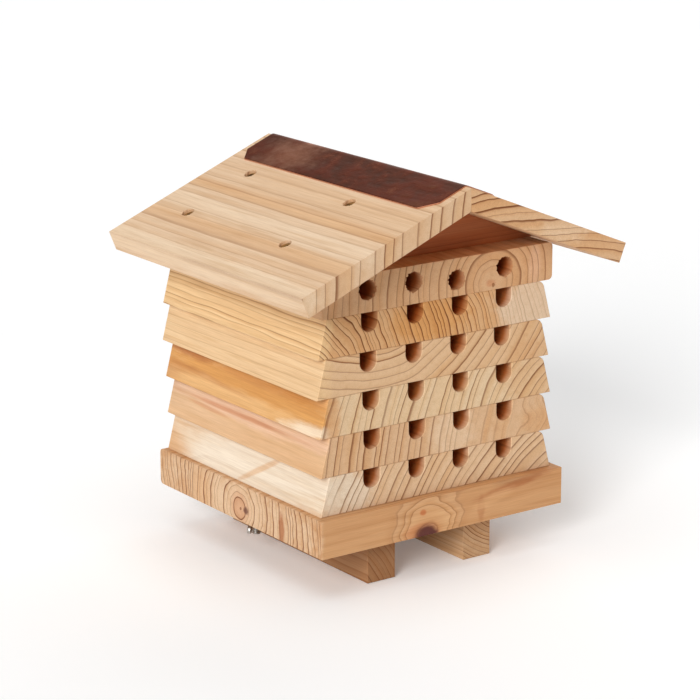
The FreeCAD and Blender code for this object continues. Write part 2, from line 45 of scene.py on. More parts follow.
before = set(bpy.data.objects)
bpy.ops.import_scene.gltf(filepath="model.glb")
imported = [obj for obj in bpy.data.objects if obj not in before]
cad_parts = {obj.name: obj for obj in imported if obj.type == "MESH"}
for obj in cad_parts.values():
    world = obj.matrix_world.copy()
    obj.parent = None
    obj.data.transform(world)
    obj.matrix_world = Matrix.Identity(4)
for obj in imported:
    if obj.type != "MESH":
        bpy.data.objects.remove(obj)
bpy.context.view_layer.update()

MM = 0.001
TRAYS = ["tray_1", "tray_2", "tray_3", "tray_4", "tray_5"]
SIDES = {"left": -1, "right": 1}
TOUCH = 0.02 * MM                   # a point this near to a face lies on it

# Sizes of the CAD model that the frame's boxes don't tell.
PITCH = math.radians(22.1)          # slope of the roof
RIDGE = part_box("left_roof_board")[1].z
TRAY_TOP_WIDTH = 134.4 * MM         # above the bevelled sides
NEST_SPACING = 27.8 * MM
NEST_WIDTH = 10 * MM                # width of a groove, and diameter of a drilled hole
NEST_LENGTH = 122 * MM
NEST_RISE = 10.4 * MM               # middle of the drilled holes above the block's underside
NEST_DRIFTS = [(-2.6, 0.8), (-2.4, 0.8), (-3.6, -2.0), (-1.1, 0.5)]     # where the drill wandered to
GROOVE_DEPTH = 10 * MM
ROD_X = 58 * MM
ROD_Y = (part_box("left_rod")[0].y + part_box("left_rod")[1].y) / 2
ROD_DIAMETER = 5 * MM
ROD_HOLE = 9.6 * MM
ROD_HEAD_HEIGHT = 3 * MM
SCREW_HEAD = 6.4 * MM
ROOF_SCREW_BORE = 6.5 * MM
ROOF_SCREW_DOWN = (34.5 * MM, 76 * MM)      # down the slope from the ridge
ROOF_SCREW_BACK = 2.5 * MM                  # behind the middle of a gable
ROOF_SCREW_SINK = 1.6 * MM
CAP_SHEET = 0.8 * MM
CAP_REACH = 25.8 * MM               # down each slope
CAP_CLIP = 8.2 * MM                 # legs of the clipped corners


# ---------------------------------------------------------------- sizes and colours


def length(name, description, default):
    """A length in metres that a user may change."""
    return FloatProperty(name=name, description=description, default=default, min=0,
                         unit="LENGTH", subtype="DISTANCE", precision=5)


def colour(name, description, default):
    """A linear colour that a user may change."""
    return FloatVectorProperty(name=name, description=description, default=default, size=3,
                               min=0, max=1, subtype="COLOR")


def share(name, description, default, top=1.0):
    """A plain number that a user may change."""
    return FloatProperty(name=name, description=description, default=default, min=0, max=top)


class WoodSettings(bpy.types.PropertyGroup):
    """How the boards are cut and what their wood looks like."""

    easing: length("Edge easing", "Width of the worn bevel along every edge", 0.45 * MM)
    worn_corner: length("Worn corner", "Radius of the trays' upper right edges", 3.2 * MM)
    worn_edge: length("Worn edge", "Radius of the block's right and the base's rear edges", 2.4 * MM)
    torn_rim: length("Torn rim", "How far the fibres are torn round a drilled hole", 0.95 * MM)
    pale: colour("Spring wood", "The pale wood between two rings", (0.75, 0.50, 0.295))
    honey: colour("Honey", "The warmer wood of some years", (0.72, 0.43, 0.215))
    summer: colour("Late wood", "How the wood darkens on the way to a ring", (0.80, 0.66, 0.50))
    ring: colour("Summer wood", "The thin dark line of a ring", (0.190, 0.058, 0.013))
    # the colour of the painted shade on the walls of drilled and routed holes
    bored: colour("Bored", "How drilled and routed walls tint the wood", (0.60, 0.245, 0.088))
    roughness: share("Roughness", "Roughness of the planed wood", 0.62)
    fibre: share("Fibre", "Depth of the fibre in the surface", 0.35)


class MetalSettings(bpy.types.PropertyGroup):
    """The copper cap, the screws, and the clamp rods with their nuts."""

    copper: colour("Copper", "Clean copper at the cut edges", (0.68, 0.33, 0.21))
    tarnish: colour("Tarnish", "The brown skin of the copper", (0.138, 0.033, 0.0105))
    zinc: colour("Zinc", "The screws", (0.52, 0.36, 0.15))
    steel: colour("Steel", "Rods, washers and wing nuts", (0.50, 0.49, 0.47))
    thread_pitch: length("Thread pitch", "From one turn of the rods' thread to the next", 0.8 * MM)
    thread_depth: length("Thread depth", "Depth of the rods' thread", 0.42 * MM)
    ridge_bend: length("Ridge bend", "Radius of the copper sheet's fold", 2.2 * MM)


class StageSettings(bpy.types.PropertyGroup):
    """Floor, light and camera."""

    floor: colour("Floor", "The floor", (0.90, 0.90, 0.90))
    glow: share("Floor glow", "Light given off by the floor, which keeps it pale", 0.13)
    sky: share("Sky", "Strength of the even light from all round", 0.22, 5.0)
    key: share("Key light", "Strength of the soft light at the left", 2.28, 50.0)
    top: share("Top light", "Strength of the soft light overhead", 1.10, 50.0)
    fill: share("Fill light", "Strength of the soft light behind on the right", 0.75, 50.0)
    lens: share("Lens", "Focal length in millimetres", 136.86, 500.0)


# ---------------------------------------------------------------- node trees


class Value:
    """A socket that can be used in sums, each of which adds its Math node."""

    def __init__(self, graph, socket):
        self.graph = graph
        self.socket = socket

    def maths(self, operation, *terms):
        """Any other operation of a Math node, with its terms in order."""
        return self.graph.node("ShaderNodeMath", {"operation": operation}, dict(enumerate(terms)))

    def __add__(self, other):
        return self.maths("ADD", self, other)

    def __sub__(self, other):
        return self.maths("SUBTRACT", self, other)

    def __rsub__(self, other):
        return self.maths("SUBTRACT", other, self)

    def __mul__(self, other):
        return self.maths("MULTIPLY", self, other)

    def __truediv__(self, other):
        return self.maths("DIVIDE", self, other)

    __radd__ = __add__
    __rmul__ = __mul__

    def step(self, low, high):
        """0 below low, 1 above high, and a smooth rise between them."""
        return self.graph.node("ShaderNodeMapRange", {"interpolation_type": "SMOOTHSTEP"},
                               {"Value": self, "From Min": low, "From Max": high})


class Graph:
    """Builds a shader tree or a geometry tree."""

    def __init__(self, tree):
        self.tree = tree
        tree.nodes.clear()

    def node(self, kind, settings=None, sockets=None, out=0):
        """Add a node: its settings first, then the values or links of its sockets."""
        made = self.tree.nodes.new(kind)
        for field, content in (settings or {}).items():
            if field == "stops":
                self.set_stops(made.color_ramp, content)
            else:
                setattr(made, field, content)
        for key, content in (sockets or {}).items():
            for item in content if isinstance(content, list) else [content]:
                self.feed(made.inputs[key], item)
        return Value(self, made.outputs[out]) if made.outputs else made

    def feed(self, socket, content):
        """Link a value to a socket, or set the socket's own value."""
        if isinstance(content, Value):
            self.tree.links.new(content.socket, socket)
        elif socket.type == "RGBA" and len(content) == 3:
            socket.default_value = (*content, 1)
        else:
            socket.default_value = content

    @staticmethod
    def set_stops(ramp, stops):
        """Give a ramp its stops, as (place, colour)."""
        while len(ramp.elements) > len(stops):
            ramp.elements.remove(ramp.elements[-1])
        while len(ramp.elements) < len(stops):
            ramp.elements.new(1)
        for element, (place, shade) in zip(ramp.elements, stops):
            element.position = place
            element.color = (*shade, 1)

    def other(self, value, name):
        """Another output of the node that a value comes from."""
        return Value(self, value.socket.node.outputs[name])

    def mix(self, factor, low, high, blend="MIX"):
        """Two colours mixed, the second by the factor."""
        settings = {"data_type": "RGBA", "blend_type": blend, "clamp_factor": True}
        return self.node("ShaderNodeMix", settings, {0: factor, 6: low, 7: high}, out=2)

    def ramp(self, value, stops):
        """The colour that a value has on a ramp of (place, colour)."""
        return self.node("ShaderNodeValToRGB", {"stops": stops}, {"Fac": value})

    def vector(self, x=0, y=0, z=0):
        """A vector from three numbers or values."""
        return self.node("ShaderNodeCombineXYZ", None, {"X": x, "Y": y, "Z": z})

    def split(self, vector):
        """The X, Y and Z of a vector."""
        x = self.node("ShaderNodeSeparateXYZ", None, {"Vector": vector})
        return x, self.other(x, "Y"), self.other(x, "Z")

    def scale(self, vector, by):
        """A vector multiplied part by part."""
        return self.node("ShaderNodeVectorMath", {"operation": "MULTIPLY"}, {0: vector, 1: by})

    def shift(self, vector, by):
        """A vector moved by another."""
        return self.node("ShaderNodeVectorMath", {"operation": "ADD"}, {0: vector, 1: by})

    def reach(self, vector):
        """How long a vector is."""
        return self.node("ShaderNodeVectorMath", {"operation": "LENGTH"}, {0: vector}, "Value")

    def millimetres(self):
        """The place on the object, in millimetres."""
        return self.scale(self.node("ShaderNodeTexCoord", None, None, "Object"), (1 / MM, 1 / MM, 1 / MM))

    def facing(self):
        """The parts of the direction that the surface faces."""
        return self.split(self.node("ShaderNodeTexCoord", None, None, "Normal"))

    def cloud(self, vector, size, detail=2.0, rough=0.5):
        """Soft noise between 0 and 1 at a scale."""
        return self.node("ShaderNodeTexNoise", {"noise_dimensions": "3D"},
                         {"Vector": vector, "Scale": size, "Detail": detail, "Roughness": rough})

    def drift(self, value, size):
        """Noise along one number."""
        return self.node("ShaderNodeTexNoise", {"noise_dimensions": "1D"},
                         {"W": value, "Scale": size, "Detail": 0.0, "Roughness": 0.5})

    def bump(self, height, strength, distance):
        """A normal for a height, which is this far at 1."""
        return self.node("ShaderNodeBump", None,
                         {"Strength": strength, "Distance": distance, "Height": height})

    def clamp(self, value):
        """A value kept between 0 and 1."""
        return self.node("ShaderNodeClamp", None, {"Value": value})


def shader(name, **constants):
    """A new material with a Principled shader: (material, graph, shader node)."""
    material = bpy.data.materials.new(name)
    material.use_nodes = True
    graph = Graph(material.node_tree)
    skin = graph.node("ShaderNodeBsdfPrincipled", None, constants).socket.node
    graph.node("ShaderNodeOutputMaterial", None, {"Surface": Value(graph, skin.outputs[0])})
    return material, graph, skin


# ---------------------------------------------------------------- wood

# One entry for each board, in millimetres.
#   along   the axis that the grain runs along
#   pith    the middle of the tree in the board's cross-section: (across, up)
#   gap     from one ring to the next; uneven is how much that varies
#   wave    how far the rings leave their circles; ripple is the same over short distances
#   dark    strength of the ring lines; fade dims them from one place across the board to another
#   warm    more or less of the warmer wood; tone multiplies red, green and blue
#   marks   knots, stains and streaks, and painted shade: (middle, radii, rings pushed aside, tint, strength, lean)
BOARDS = {
    "drilled_block": dict(along="y", pith=(33, 146.5), gap=4.4, uneven=0.5, wave=4, ripple=0.7,
                          dark=0.58, warm=0.35, tone=(0.885, 0.85, 0.835), seed=3,
                          # the first mark darkens the block's top under the roof: painted shade
                          marks=[((0, -56, 163.6), (110, 30, 0.9), 0.0, "red", 0.6, 0),
                                 ((32, -62, 147), (3.4, 12, 2.4), 0.5, "red", 0.45, 0),
                                 ((60, -62, 153), (4, 30, 14), 0.0, "pink", 0.35, 0)]),
    "tray_1": dict(along="y", pith=(-150, 60), gap=2.6, uneven=0.5, wave=6, ripple=1.1,
                   dark=1.25, warm=0.4, tone=(0.92, 0.87, 0.78), seed=11, fade=(14, 44),
                   marks=[((58, -64, 132), (26, 70, 19), 0.0, "cream", 0.62, 0),
                          ((-8, -64, 134), (26, 60, 14), 0.0, "amber", 0.62, 0),
                          ((-72, 0, 133), (8, 160, 24), 0.0, "straw", 0.85, 0)]),
    "tray_2": dict(along="y", pith=(-42, 186), gap=4.6, uneven=0.5, wave=5, ripple=0.6,
                   dark=0.7, warm=0.25, tone=(0.96, 1.01, 1.06), seed=23,
                   marks=[((56, -64, 108), (13, 60, 7), 0.0, "tan", 0.45, 0),
                          ((-72, 0, 113), (8, 160, 24), 0.0, "straw", 0.5, 0)]),
    "tray_3": dict(along="y", pith=(100, 50), gap=4.6, uneven=0.6, wave=5, ripple=0.6,
                   dark=0.75, warm=0.3, tone=(1.0, 1.16, 1.31), seed=31,
                   marks=[((-74, 0, 94), (10, 190, 26), 0.2, "amber", 0.92, 0),
                          ((-74, 24, 87), (8, 84, 5.0), 0.0, "straw", 0.36, 0),
                          ((-74, -36, 99), (8, 56, 3.5), 0.0, "amber", 0.8, 0.05),
                          ((-70, -52, 85.5), (6, 36, 4.0), 0.0, "blanched", 0.9, -0.10),
                          ((-71, 62, 100.5), (5, 30, 3.4), 0.5, "rust", 0.7, 0.02),
                          ((-74, 78, 90), (5, 30, 7.5), 0.3, "rust", 0.34, -0.12),
                          ((-71, 38, 91), (5, 46, 1.6), 0.3, "rust", 0.3, 0.05),
                          ((-70, -10, 99), (5, 52, 3.2), 0.2, "rust", 0.28, 0),
                          ((60, -64, 92), (20, 60, 18), 0.0, "tan", 0.4, 0),
                          ((-65, -64, 93), (5, 20, 12), 0.0, "tan", 0.7, 0)]),
    "tray_4": dict(along="y", pith=(150, 45), gap=4.5, uneven=0.6, wave=4, ripple=0.5,
                   dark=0.85, warm=0.2, tone=(0.92, 0.94, 0.99), seed=43, fade=(-34, 24),
                   marks=[((64, -60, 70), (14, 30, 8), 2.0, "tan", 0.6, 0),
                          ((8, -64, 74), (15, 60, 14), 0.0, "blanched", 0.5, 0),
                          ((38, -64, 72), (5, 60, 14), 0.0, "tan", 0.3, 0),
                          ((-72, 10, 79), (7, 130, 6), 0.0, "pink", 0.6, 0),
                          ((-72, 20, 77), (7, 74, 1.5), 0.4, "red", 0.5, 0),
                          ((-72, 44, 74), (7, 26, 1.2), 0.4, "red", 0.35, 0.03)]),
    "tray_5": dict(along="y", pith=(112, -30), gap=4.4, uneven=0.45, wave=4, ripple=0.5,
                   dark=0.75, warm=0.15, tone=(0.98, 1.07, 1.20), seed=52, fade=(-57, -68),
                   marks=[((-72, 0, 53), (20, 84, 19), 0.0, "cream", 1.0, 0),
                          ((-58, -64, 54), (18, 40, 15), 0.0, "cream", 0.85, 0),
                          ((-74, 82, 50), (6, 26, 15), 0.5, "tan", 0.8, 0),
                          ((-70, -5, 52.5), (9, 19, 2.1), 0.0, "tan", 0.6, -0.55)]),
    "base_board": dict(along="x", pith=(3, 31), gap=3.3, uneven=0.6, wave=7, ripple=1.6,
                       dark=1.0, warm=0.6, tone=(0.80, 0.73, 0.67), seed=61,
                       marks=[((-79, 5, 33), (6, 110, 22), 0.0, "blanched", 0.6, 0),
                              ((-10, -69.5, 27), (19, 30, 15), 4.2, "tan", 0.75, 0),
                              ((-2, -69.5, 33), (10, 9, 8), 0.0, "tan", 0.5, 0),
                              ((-14, -69.5, 26.5), (12, 8, 5), 0.0, "red", 0.55, 0),
                              ((-11.5, -69.5, 25.5), (7.4, 6, 4.4), 0.8, "knot", 1.0, 0),
                              ((-14, -69.5, 36.5), (2.0, 4, 1.6), 0.5, "red", 0.9, 0),
                              ((23, -69.5, 31), (2.6, 9, 9), 0.0, "rust", 0.45, 0),
                              ((43, -69.5, 39.8), (27, 12, 3.0), 0.0, "rust", 0.75, 0.13),
                              ((33, -69.5, 36), (15, 12, 4), 0.0, "tan", 0.7, 0.2),
                              ((-76, 4, 31), (3, 9, 8.5), 0.0, "red", 0.38, 0),
                              ((-76, -1.5, 31), (3, 2.3, 2.3), 0.3, "knot", 0.8, 0),
                              ((-76, -34, 30), (3, 2.8, 10), 0.3, "rust", 0.8, 0.1),
                              ((-76, 40, 32), (3, 10, 12), 0.0, "tan", 0.5, 0)]),
    "left_foot": dict(along="y", pith=(-90, -30), gap=2.6, uneven=0.5, wave=2, ripple=0.5,
                      dark=0.9, warm=0.5, tone=(0.50, 0.41, 0.34), seed=71),
    "right_foot": dict(along="y", pith=(70, 70), gap=2.2, uneven=0.5, wave=2, ripple=0.5,
                       dark=0.9, warm=0.4, tone=(0.78, 0.78, 0.78), seed=77),
    # the front gable's dark red tone is partly darker wood and partly painted shade under the roof
    "front_gable": dict(along="x", pith=(-70, 260), gap=3.2, uneven=0.5, wave=5, ripple=0.6,
                        dark=0.6, warm=0.7, tone=(0.64, 0.325, 0.205), seed=83),
    "rear_gable": dict(along="x", pith=(120, 110), gap=3.0, uneven=0.5, wave=5, ripple=0.6,
                       dark=0.6, warm=0.6, tone=(0.84, 0.64, 0.54), seed=89),
    "left_roof_board": dict(along="y", pith=(240, 150), gap=6.4, uneven=0.6, wave=3, ripple=0.5,
                            dark=0.8, warm=0.25, tone=(0.94, 1.02, 1.16), seed=97,
                            marks=[((-62, 10, 178), (7, 240, 7), 0.0, "blanched", 0.36, 0),
                                   ((-97, 10, 162), (9, 240, 8), 0.0, "blanched", 0.6, 0),
                                   ((-46, 10, 185), (4, 160, 5), 0.0, "tan", 0.3, 0),
                                   ((-76, 10, 173), (5, 150, 5), 0.0, "tan", 0.3, 0)]),
    "right_roof_board": dict(along="y", pith=(20, -160), gap=4.0, uneven=0.5, wave=4, ripple=0.8,
                             dark=0.9, warm=0.35, tone=(0.93, 0.92, 0.93), seed=103,
                             marks=[((62, -88, 178), (16, 60, 12), 0.0, "blanched", 0.4, 0)]),
}
MARK_TINTS = {
    "knot": (0.115, 0.030, 0.022),
    "tan": (0.66, 0.385, 0.19),
    "straw": (0.83, 0.60, 0.335),
    "pink": (0.80, 0.545, 0.41),
    "red": (0.56, 0.20, 0.075),
    "rust": (0.40, 0.140, 0.045),
    "amber": (0.64, 0.305, 0.078),
    "blanched": (0.82, 0.67, 0.50),
    "cream": (0.79, 0.685, 0.555),
}

GRAIN = 0.22                        # how much slower the wood changes along the grain than across

# What the wood is multiplied by, from the weakest to the strongest noise.
STREAKS = [(0.32, (0.88, 0.80, 0.70)), (0.5, (1.0, 0.99, 0.98)), (0.68, (1.06, 1.08, 1.10))]
FIBRES = [(0.3, (0.80, 0.74, 0.68)), (0.7, (1.12, 1.10, 1.06))]
PORES = [(0.3, (0.74, 0.66, 0.58)), (0.62, (1.05, 1.03, 1.0))]
END_GRAIN = (0.86, 0.78, 0.70)


def wood(name):
    """The wood of one board: year rings round its own pith, with marks, fibres, end grain, and painted shade
    in its holes.
    """
    look = bpy.context.scene.hive_wood
    board = BOARDS[name]
    grain_along_x = board["along"] == "x"
    material, graph, skin = shader(f"cedar_{name}", **{"IOR": 1.45, "Specular IOR Level": 0.35})
    place = graph.millimetres()
    parts = graph.split(place)
    facing = graph.facing()[0 if grain_along_x else 1]
    end = facing.maths("ABSOLUTE", facing).step(0.6, 0.95)
    moved = graph.shift(place, tuple(board["seed"] * part for part in (13.7, 7.1, 3.3)))

    def stretched(lengthwise, across):
        """The place with its own scale along the grain, for noise that is long along it."""
        return graph.scale(moved, (lengthwise, across, across) if grain_along_x
                           else (across, lengthwise, across))

    slow, quick, broad = (stretched(GRAIN / size, 1 / size) for size in (55, 9, 38))
    radius, marks = bent_radius(graph, board, place, slow, quick)
    line, soft, years, luck = ring_lines(graph, board, radius, parts[0], end)
    shade = plain_wood(graph, board, look, years, luck, graph.cloud(broad, 1.0, 2.0))
    for strength, tint in marks:
        if tint != "knot":
            shade = graph.mix(graph.clamp(strength), shade, MARK_TINTS[tint])
    shade = graph.mix(graph.clamp(soft), shade, tuple(look.summer), "MULTIPLY")
    shade = graph.mix(graph.clamp(line), shade, tuple(look.ring))
    for strength, tint in marks:
        if tint == "knot":
            shade = graph.mix(graph.clamp(strength), shade, MARK_TINTS[tint])

    # broad streaks and fine fibres along the sides, pores and a darker tone on the ends
    fibre = graph.cloud(stretched(0.06, 2.6), 1.0, 3.0, 0.65)
    pores = graph.cloud(moved, 3.2, 2.0, 0.7)
    streaks = graph.cloud(stretched(0.011, 0.34), 1.0, 4.0, 0.62)
    shade = graph.mix(0.85 - end * 0.45, shade, graph.ramp(streaks, STREAKS), "MULTIPLY")
    shade = graph.mix(0.55, shade, graph.ramp(fibre, FIBRES), "MULTIPLY")
    shade = graph.mix(end * 0.35, shade, graph.ramp(pores, PORES), "MULTIPLY")
    shade = graph.mix(end * 0.30, shade, END_GRAIN, "MULTIPLY")

    # painted shade on drilled and routed walls, which seldom see light: stronger further into the grooves and
    # holes, weak in the roof's screw recesses
    bored = graph.node("ShaderNodeAttribute", {"attribute_name": "bored"}, None, "Fac")
    if name in TRAYS or name == "drilled_block":
        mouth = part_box(name)[0].y / MM
        bored = bored * ((parts[1] - mouth).step(0, 6) * 0.65 + 0.35)
    else:
        bored = bored * 0.15
    shade = graph.mix(bored, shade, tuple(look.bored), "MULTIPLY")
    graph.feed(skin.inputs["Base Color"], shade)

    rough = look.roughness + (fibre - 0.5) * 0.16 - graph.clamp(line) * 0.1 + end * 0.12
    graph.feed(skin.inputs["Roughness"], rough)
    height = fibre * 0.6 + line * 0.35 + pores * end * 0.5
    graph.feed(skin.inputs["Normal"], graph.bump(height, look.fibre, 0.12 * MM))
    return material


def bent_radius(graph, board, place, slow, quick):
    """How far a spot is from the pith, and the marks on it: (radius, [(strength, tint)])."""
    grain_along_x = board["along"] == "x"
    x, y, z = graph.split(place)
    wave = (graph.cloud(slow, 1.0, 1.0) - 0.5) * (2 * board["wave"])
    wave = wave + (graph.cloud(quick, 1.0, 1.0) - 0.5) * (2 * board["ripple"])
    across, up = board["pith"]
    radius = graph.reach(graph.vector((y if grain_along_x else x) - across, z - up)) + wave
    ragged = graph.cloud(quick, 0.8, 2.0) - 0.5
    torn = graph.cloud(quick, 2.2, 4.0, 0.68) - 0.5
    marks = []
    for middle, radii, swirl, tint, strength, lean in board.get("marks", ()):
        away = graph.shift(place, tuple(-part for part in middle))
        if lean:
            run = x - middle[0] if grain_along_x else y - middle[1]
            away = graph.shift(away, graph.vector(z=run * -lean))
        reach = graph.reach(graph.scale(away, tuple(1 / part for part in radii))) + ragged * 0.7
        if swirl:
            # the rings bend round a mark, as round a branch
            swell = 1 - reach.step(0.0, 1.6)
            radius = radius + swell * (swirl * board["gap"])
        marks.append(((1 - (reach + torn * 0.9).step(0.5, 1.2)) * strength, tint))
    return radius, marks


def ring_lines(graph, board, radius, across, end):
    """The year rings: (dark line, the wood darkening towards it, years from the pith, the year's luck)."""
    seed = board["seed"]
    years = radius / board["gap"]
    years = years + (graph.drift(years + seed, 0.45) - 0.5) * (2.2 * board["uneven"])
    year = years.maths("FLOOR", years)
    part = years - year
    luck = graph.node("ShaderNodeTexWhiteNoise", {"noise_dimensions": "1D"}, {"W": year + seed})
    edge = 1 - part.step(0.965, 1.0)
    line = part.step(0.85 - luck * 0.16, 0.93) * edge
    soft = part.step(0.2, 0.95) * edge * 0.5
    strength = (luck * 0.75 + 0.5) * board["dark"]
    if "fade" in board:
        strength = strength * (1 - across.step(*board["fade"]) * 0.72)
    return line * strength * (end * 0.66 + 0.34), soft * strength, years, luck


def plain_wood(graph, board, look, years, luck, patches):
    """Spring wood, warmer in some years and in some patches."""
    warm = graph.drift(years + 7 * board["seed"], 0.8).step(0.42, 0.72) * 0.6
    warm = warm + patches.step(0.4, 0.75) * 0.4 + (luck - 0.5) * 0.5
    warm = graph.clamp(warm + (board["warm"] - 0.3))
    pale, honey = (tuple(part * by for part, by in zip(shade, board["tone"]))
                   for shade in (look.pale, look.honey))
    return graph.mix(warm, pale, honey)


# ---------------------------------------------------------------- metal


def tarnished_copper():
    """Brown patinated copper, mottled, with lighter flecks and a patch of painted sheen, and bare where it is
    cut.
    """
    look = bpy.context.scene.hive_metal
    material, graph, skin = shader("tarnished_copper", Metallic=1.0)
    place = graph.millimetres()
    slow = graph.cloud(graph.scale(place, (0.05, 0.022, 0.05)), 1.0, 3.0, 0.6)
    blotch = graph.cloud(place, 0.09, 4.0, 0.6)
    fine = graph.cloud(place, 0.9, 3.0, 0.7)
    brushed = graph.cloud(graph.scale(place, (1.6, 0.05, 1.6)), 1.0, 2.0)
    tone = graph.ramp(slow * 0.6 + blotch * 0.4, [
        (0.30, (0.087, 0.024, 0.009)), (0.44, tuple(look.tarnish)),
        (0.56, (0.200, 0.036, 0.010)), (0.70, (0.215, 0.064, 0.023))])

    # a lighter patch behind on the left slope, which is painted sheen, and lighter flecks all over
    sheen_patch = graph.reach(graph.scale(graph.shift(place, (13, -50, -199)), (1 / 19, 1 / 26, 1 / 25)))
    sheen_patch = 1 - (sheen_patch + slow * 1.2 + blotch * 2.4 - 1.8).step(0.0, 1.2)
    flecks_and_sheen = graph.clamp((blotch * 0.6 + fine * 0.4).step(0.52, 0.72) * 0.35 + sheen_patch * 0.75)
    tone = graph.mix(flecks_and_sheen, tone, (0.50, 0.20, 0.105))

    # the ends and what faces down are clean
    _, along, up = graph.facing()
    cut = graph.clamp(along.maths("ABSOLUTE", along).step(0.4, 0.8) + (1 - up.step(0.0, 0.5)))
    graph.feed(skin.inputs["Base Color"], graph.mix(cut, tone, tuple(look.copper)))
    graph.feed(skin.inputs["Roughness"], 0.34 + blotch * 0.26 + fine * 0.08 - flecks_and_sheen * 0.06)
    height = slow * 3.0 + blotch * 1.2 + brushed * 0.10 + fine * 0.06
    graph.feed(skin.inputs["Normal"], graph.bump(height, 0.5, 0.5 * MM))
    return material


def dull_metal(name, tint, dirt, rough):
    """Plated or plain steel with stains and fine scratches."""
    material, graph, skin = shader(name, Metallic=1.0)
    place = graph.millimetres()
    stain = graph.cloud(place, 0.35, 4.0, 0.65)
    scratch = graph.cloud(graph.scale(place, (3.0, 0.4, 0.7)), 1.0, 3.0, 0.7)
    bright = tuple(min(1, part * 1.5) for part in tint)
    tone = graph.mix(stain.step(0.42, 0.7), tint, dirt)
    graph.feed(skin.inputs["Base Color"], graph.mix(scratch.step(0.55, 0.8) * 0.3, tone, bright))
    graph.feed(skin.inputs["Roughness"], rough + stain * 0.22 - scratch * 0.08)
    graph.feed(skin.inputs["Normal"], graph.bump(scratch + stain, 0.25, 0.06 * MM))
    return material


# ---------------------------------------------------------------- meshes


def new_piece(name, mesh, material=None):
    """An object at the origin for a finished mesh."""
    piece = bpy.data.objects.new(name, mesh)
    bpy.context.scene.collection.objects.link(piece)
    if material is not None:
        mesh.materials.clear()
        mesh.materials.append(material)
    return piece


def filled(name, work):
    """A new mesh from a finished bmesh."""
    mesh = bpy.data.meshes.new(name)
    work.to_mesh(mesh)
    work.free()
    return mesh


def walled(work, lower, upper):
    """A band of faces between two closed rings with the same number of points."""
    for index in range(len(lower)):
        after = (index + 1) % len(lower)
        work.faces.new((lower[index], lower[after], upper[after], upper[index]))


def baked(piece):
    """Turn a piece with modifiers into a plain mesh, and take the modifiers off."""
    bpy.context.view_layer.update()
    evaluated = piece.evaluated_get(bpy.context.evaluated_depsgraph_get())
    mesh = bpy.data.meshes.new_from_object(evaluated)
    old = piece.data
    piece.modifiers.clear()
    piece.data = mesh
    mesh.name = piece.name
    bpy.data.meshes.remove(old)
    return piece


def smooth(mesh, degrees=35):
    """Smooth shading, with sharp edges where faces meet at more than an angle."""
    mesh.polygons.foreach_set("use_smooth", [True] * len(mesh.polygons))
    mesh.set_sharp_from_angle(angle=math.radians(degrees))


def bevelled(piece, width, segments, limit, **settings):
    """Bevel a piece's edges, by angle or by weight."""
    bevel = piece.modifiers.new("bevel", "BEVEL")
    bevel.width = width
    bevel.segments = segments
    bevel.limit_method = limit
    for field, content in settings.items():
        setattr(bevel, field, content)
    return baked(piece)


def rounded(piece, radius, along, is_worn):
    """Round over the worn edges that run along a direction, chosen by where both ends lie."""
    mesh = piece.data
    worn = mesh.attributes.new("bevel_weight_edge", "FLOAT", "EDGE")
    for edge in mesh.edges:
        ends = [mesh.vertices[index].co for index in edge.vertices]
        straight = abs((ends[1] - ends[0]).normalized().dot(along)) > 0.99
        worn.data[edge.index].value = float(straight and all(is_worn(end) for end in ends))
    bevelled(piece, radius, 6, "WEIGHT", use_clamp_overlap=True)
    forget(piece.data, "bevel_weight_edge")
    return piece


def eased(piece, width):
    """Bevel every edge of a board a little, as sandpaper and handling do."""
    return bevelled(piece, width, 2, "ANGLE", angle_limit=math.radians(30), use_clamp_overlap=True,
                    miter_outer="MITER_ARC")


def forget(mesh, name):
    """Take an attribute off a mesh, if it has it."""
    if name in mesh.attributes:
        mesh.attributes.remove(mesh.attributes[name])


def shaded(piece):
    """Smooth shading that keeps the broad faces flat."""
    smooth(piece.data, 50)
    weighted = piece.modifiers.new("flat faces", "WEIGHTED_NORMAL")
    weighted.keep_sharp = True
    return baked(piece)


def board_copy(node):
    """A merged copy of a CAD board with its flat faces whole again."""
    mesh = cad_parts[node].data.copy()
    work = bmesh.new()
    work.from_mesh(mesh)
    bmesh.ops.remove_doubles(work, verts=work.verts, dist=0.002 * MM)
    bmesh.ops.dissolve_limit(work, angle_limit=math.radians(1), verts=work.verts, edges=work.edges)
    work.to_mesh(mesh)
    work.free()
    forget(mesh, "custom_normal")
    return new_piece(f"{node}_wood", mesh, wood(node))


def mark_hole_shade(piece, is_inside):
    """Note which faces are walls of a drilled or routed hole, where the wood's shader paints shade."""
    bored = piece.data.attributes.new("bored", "FLOAT", "FACE")
    bored.data.foreach_set("value", [float(is_inside(face.center)) for face in piece.data.polygons])


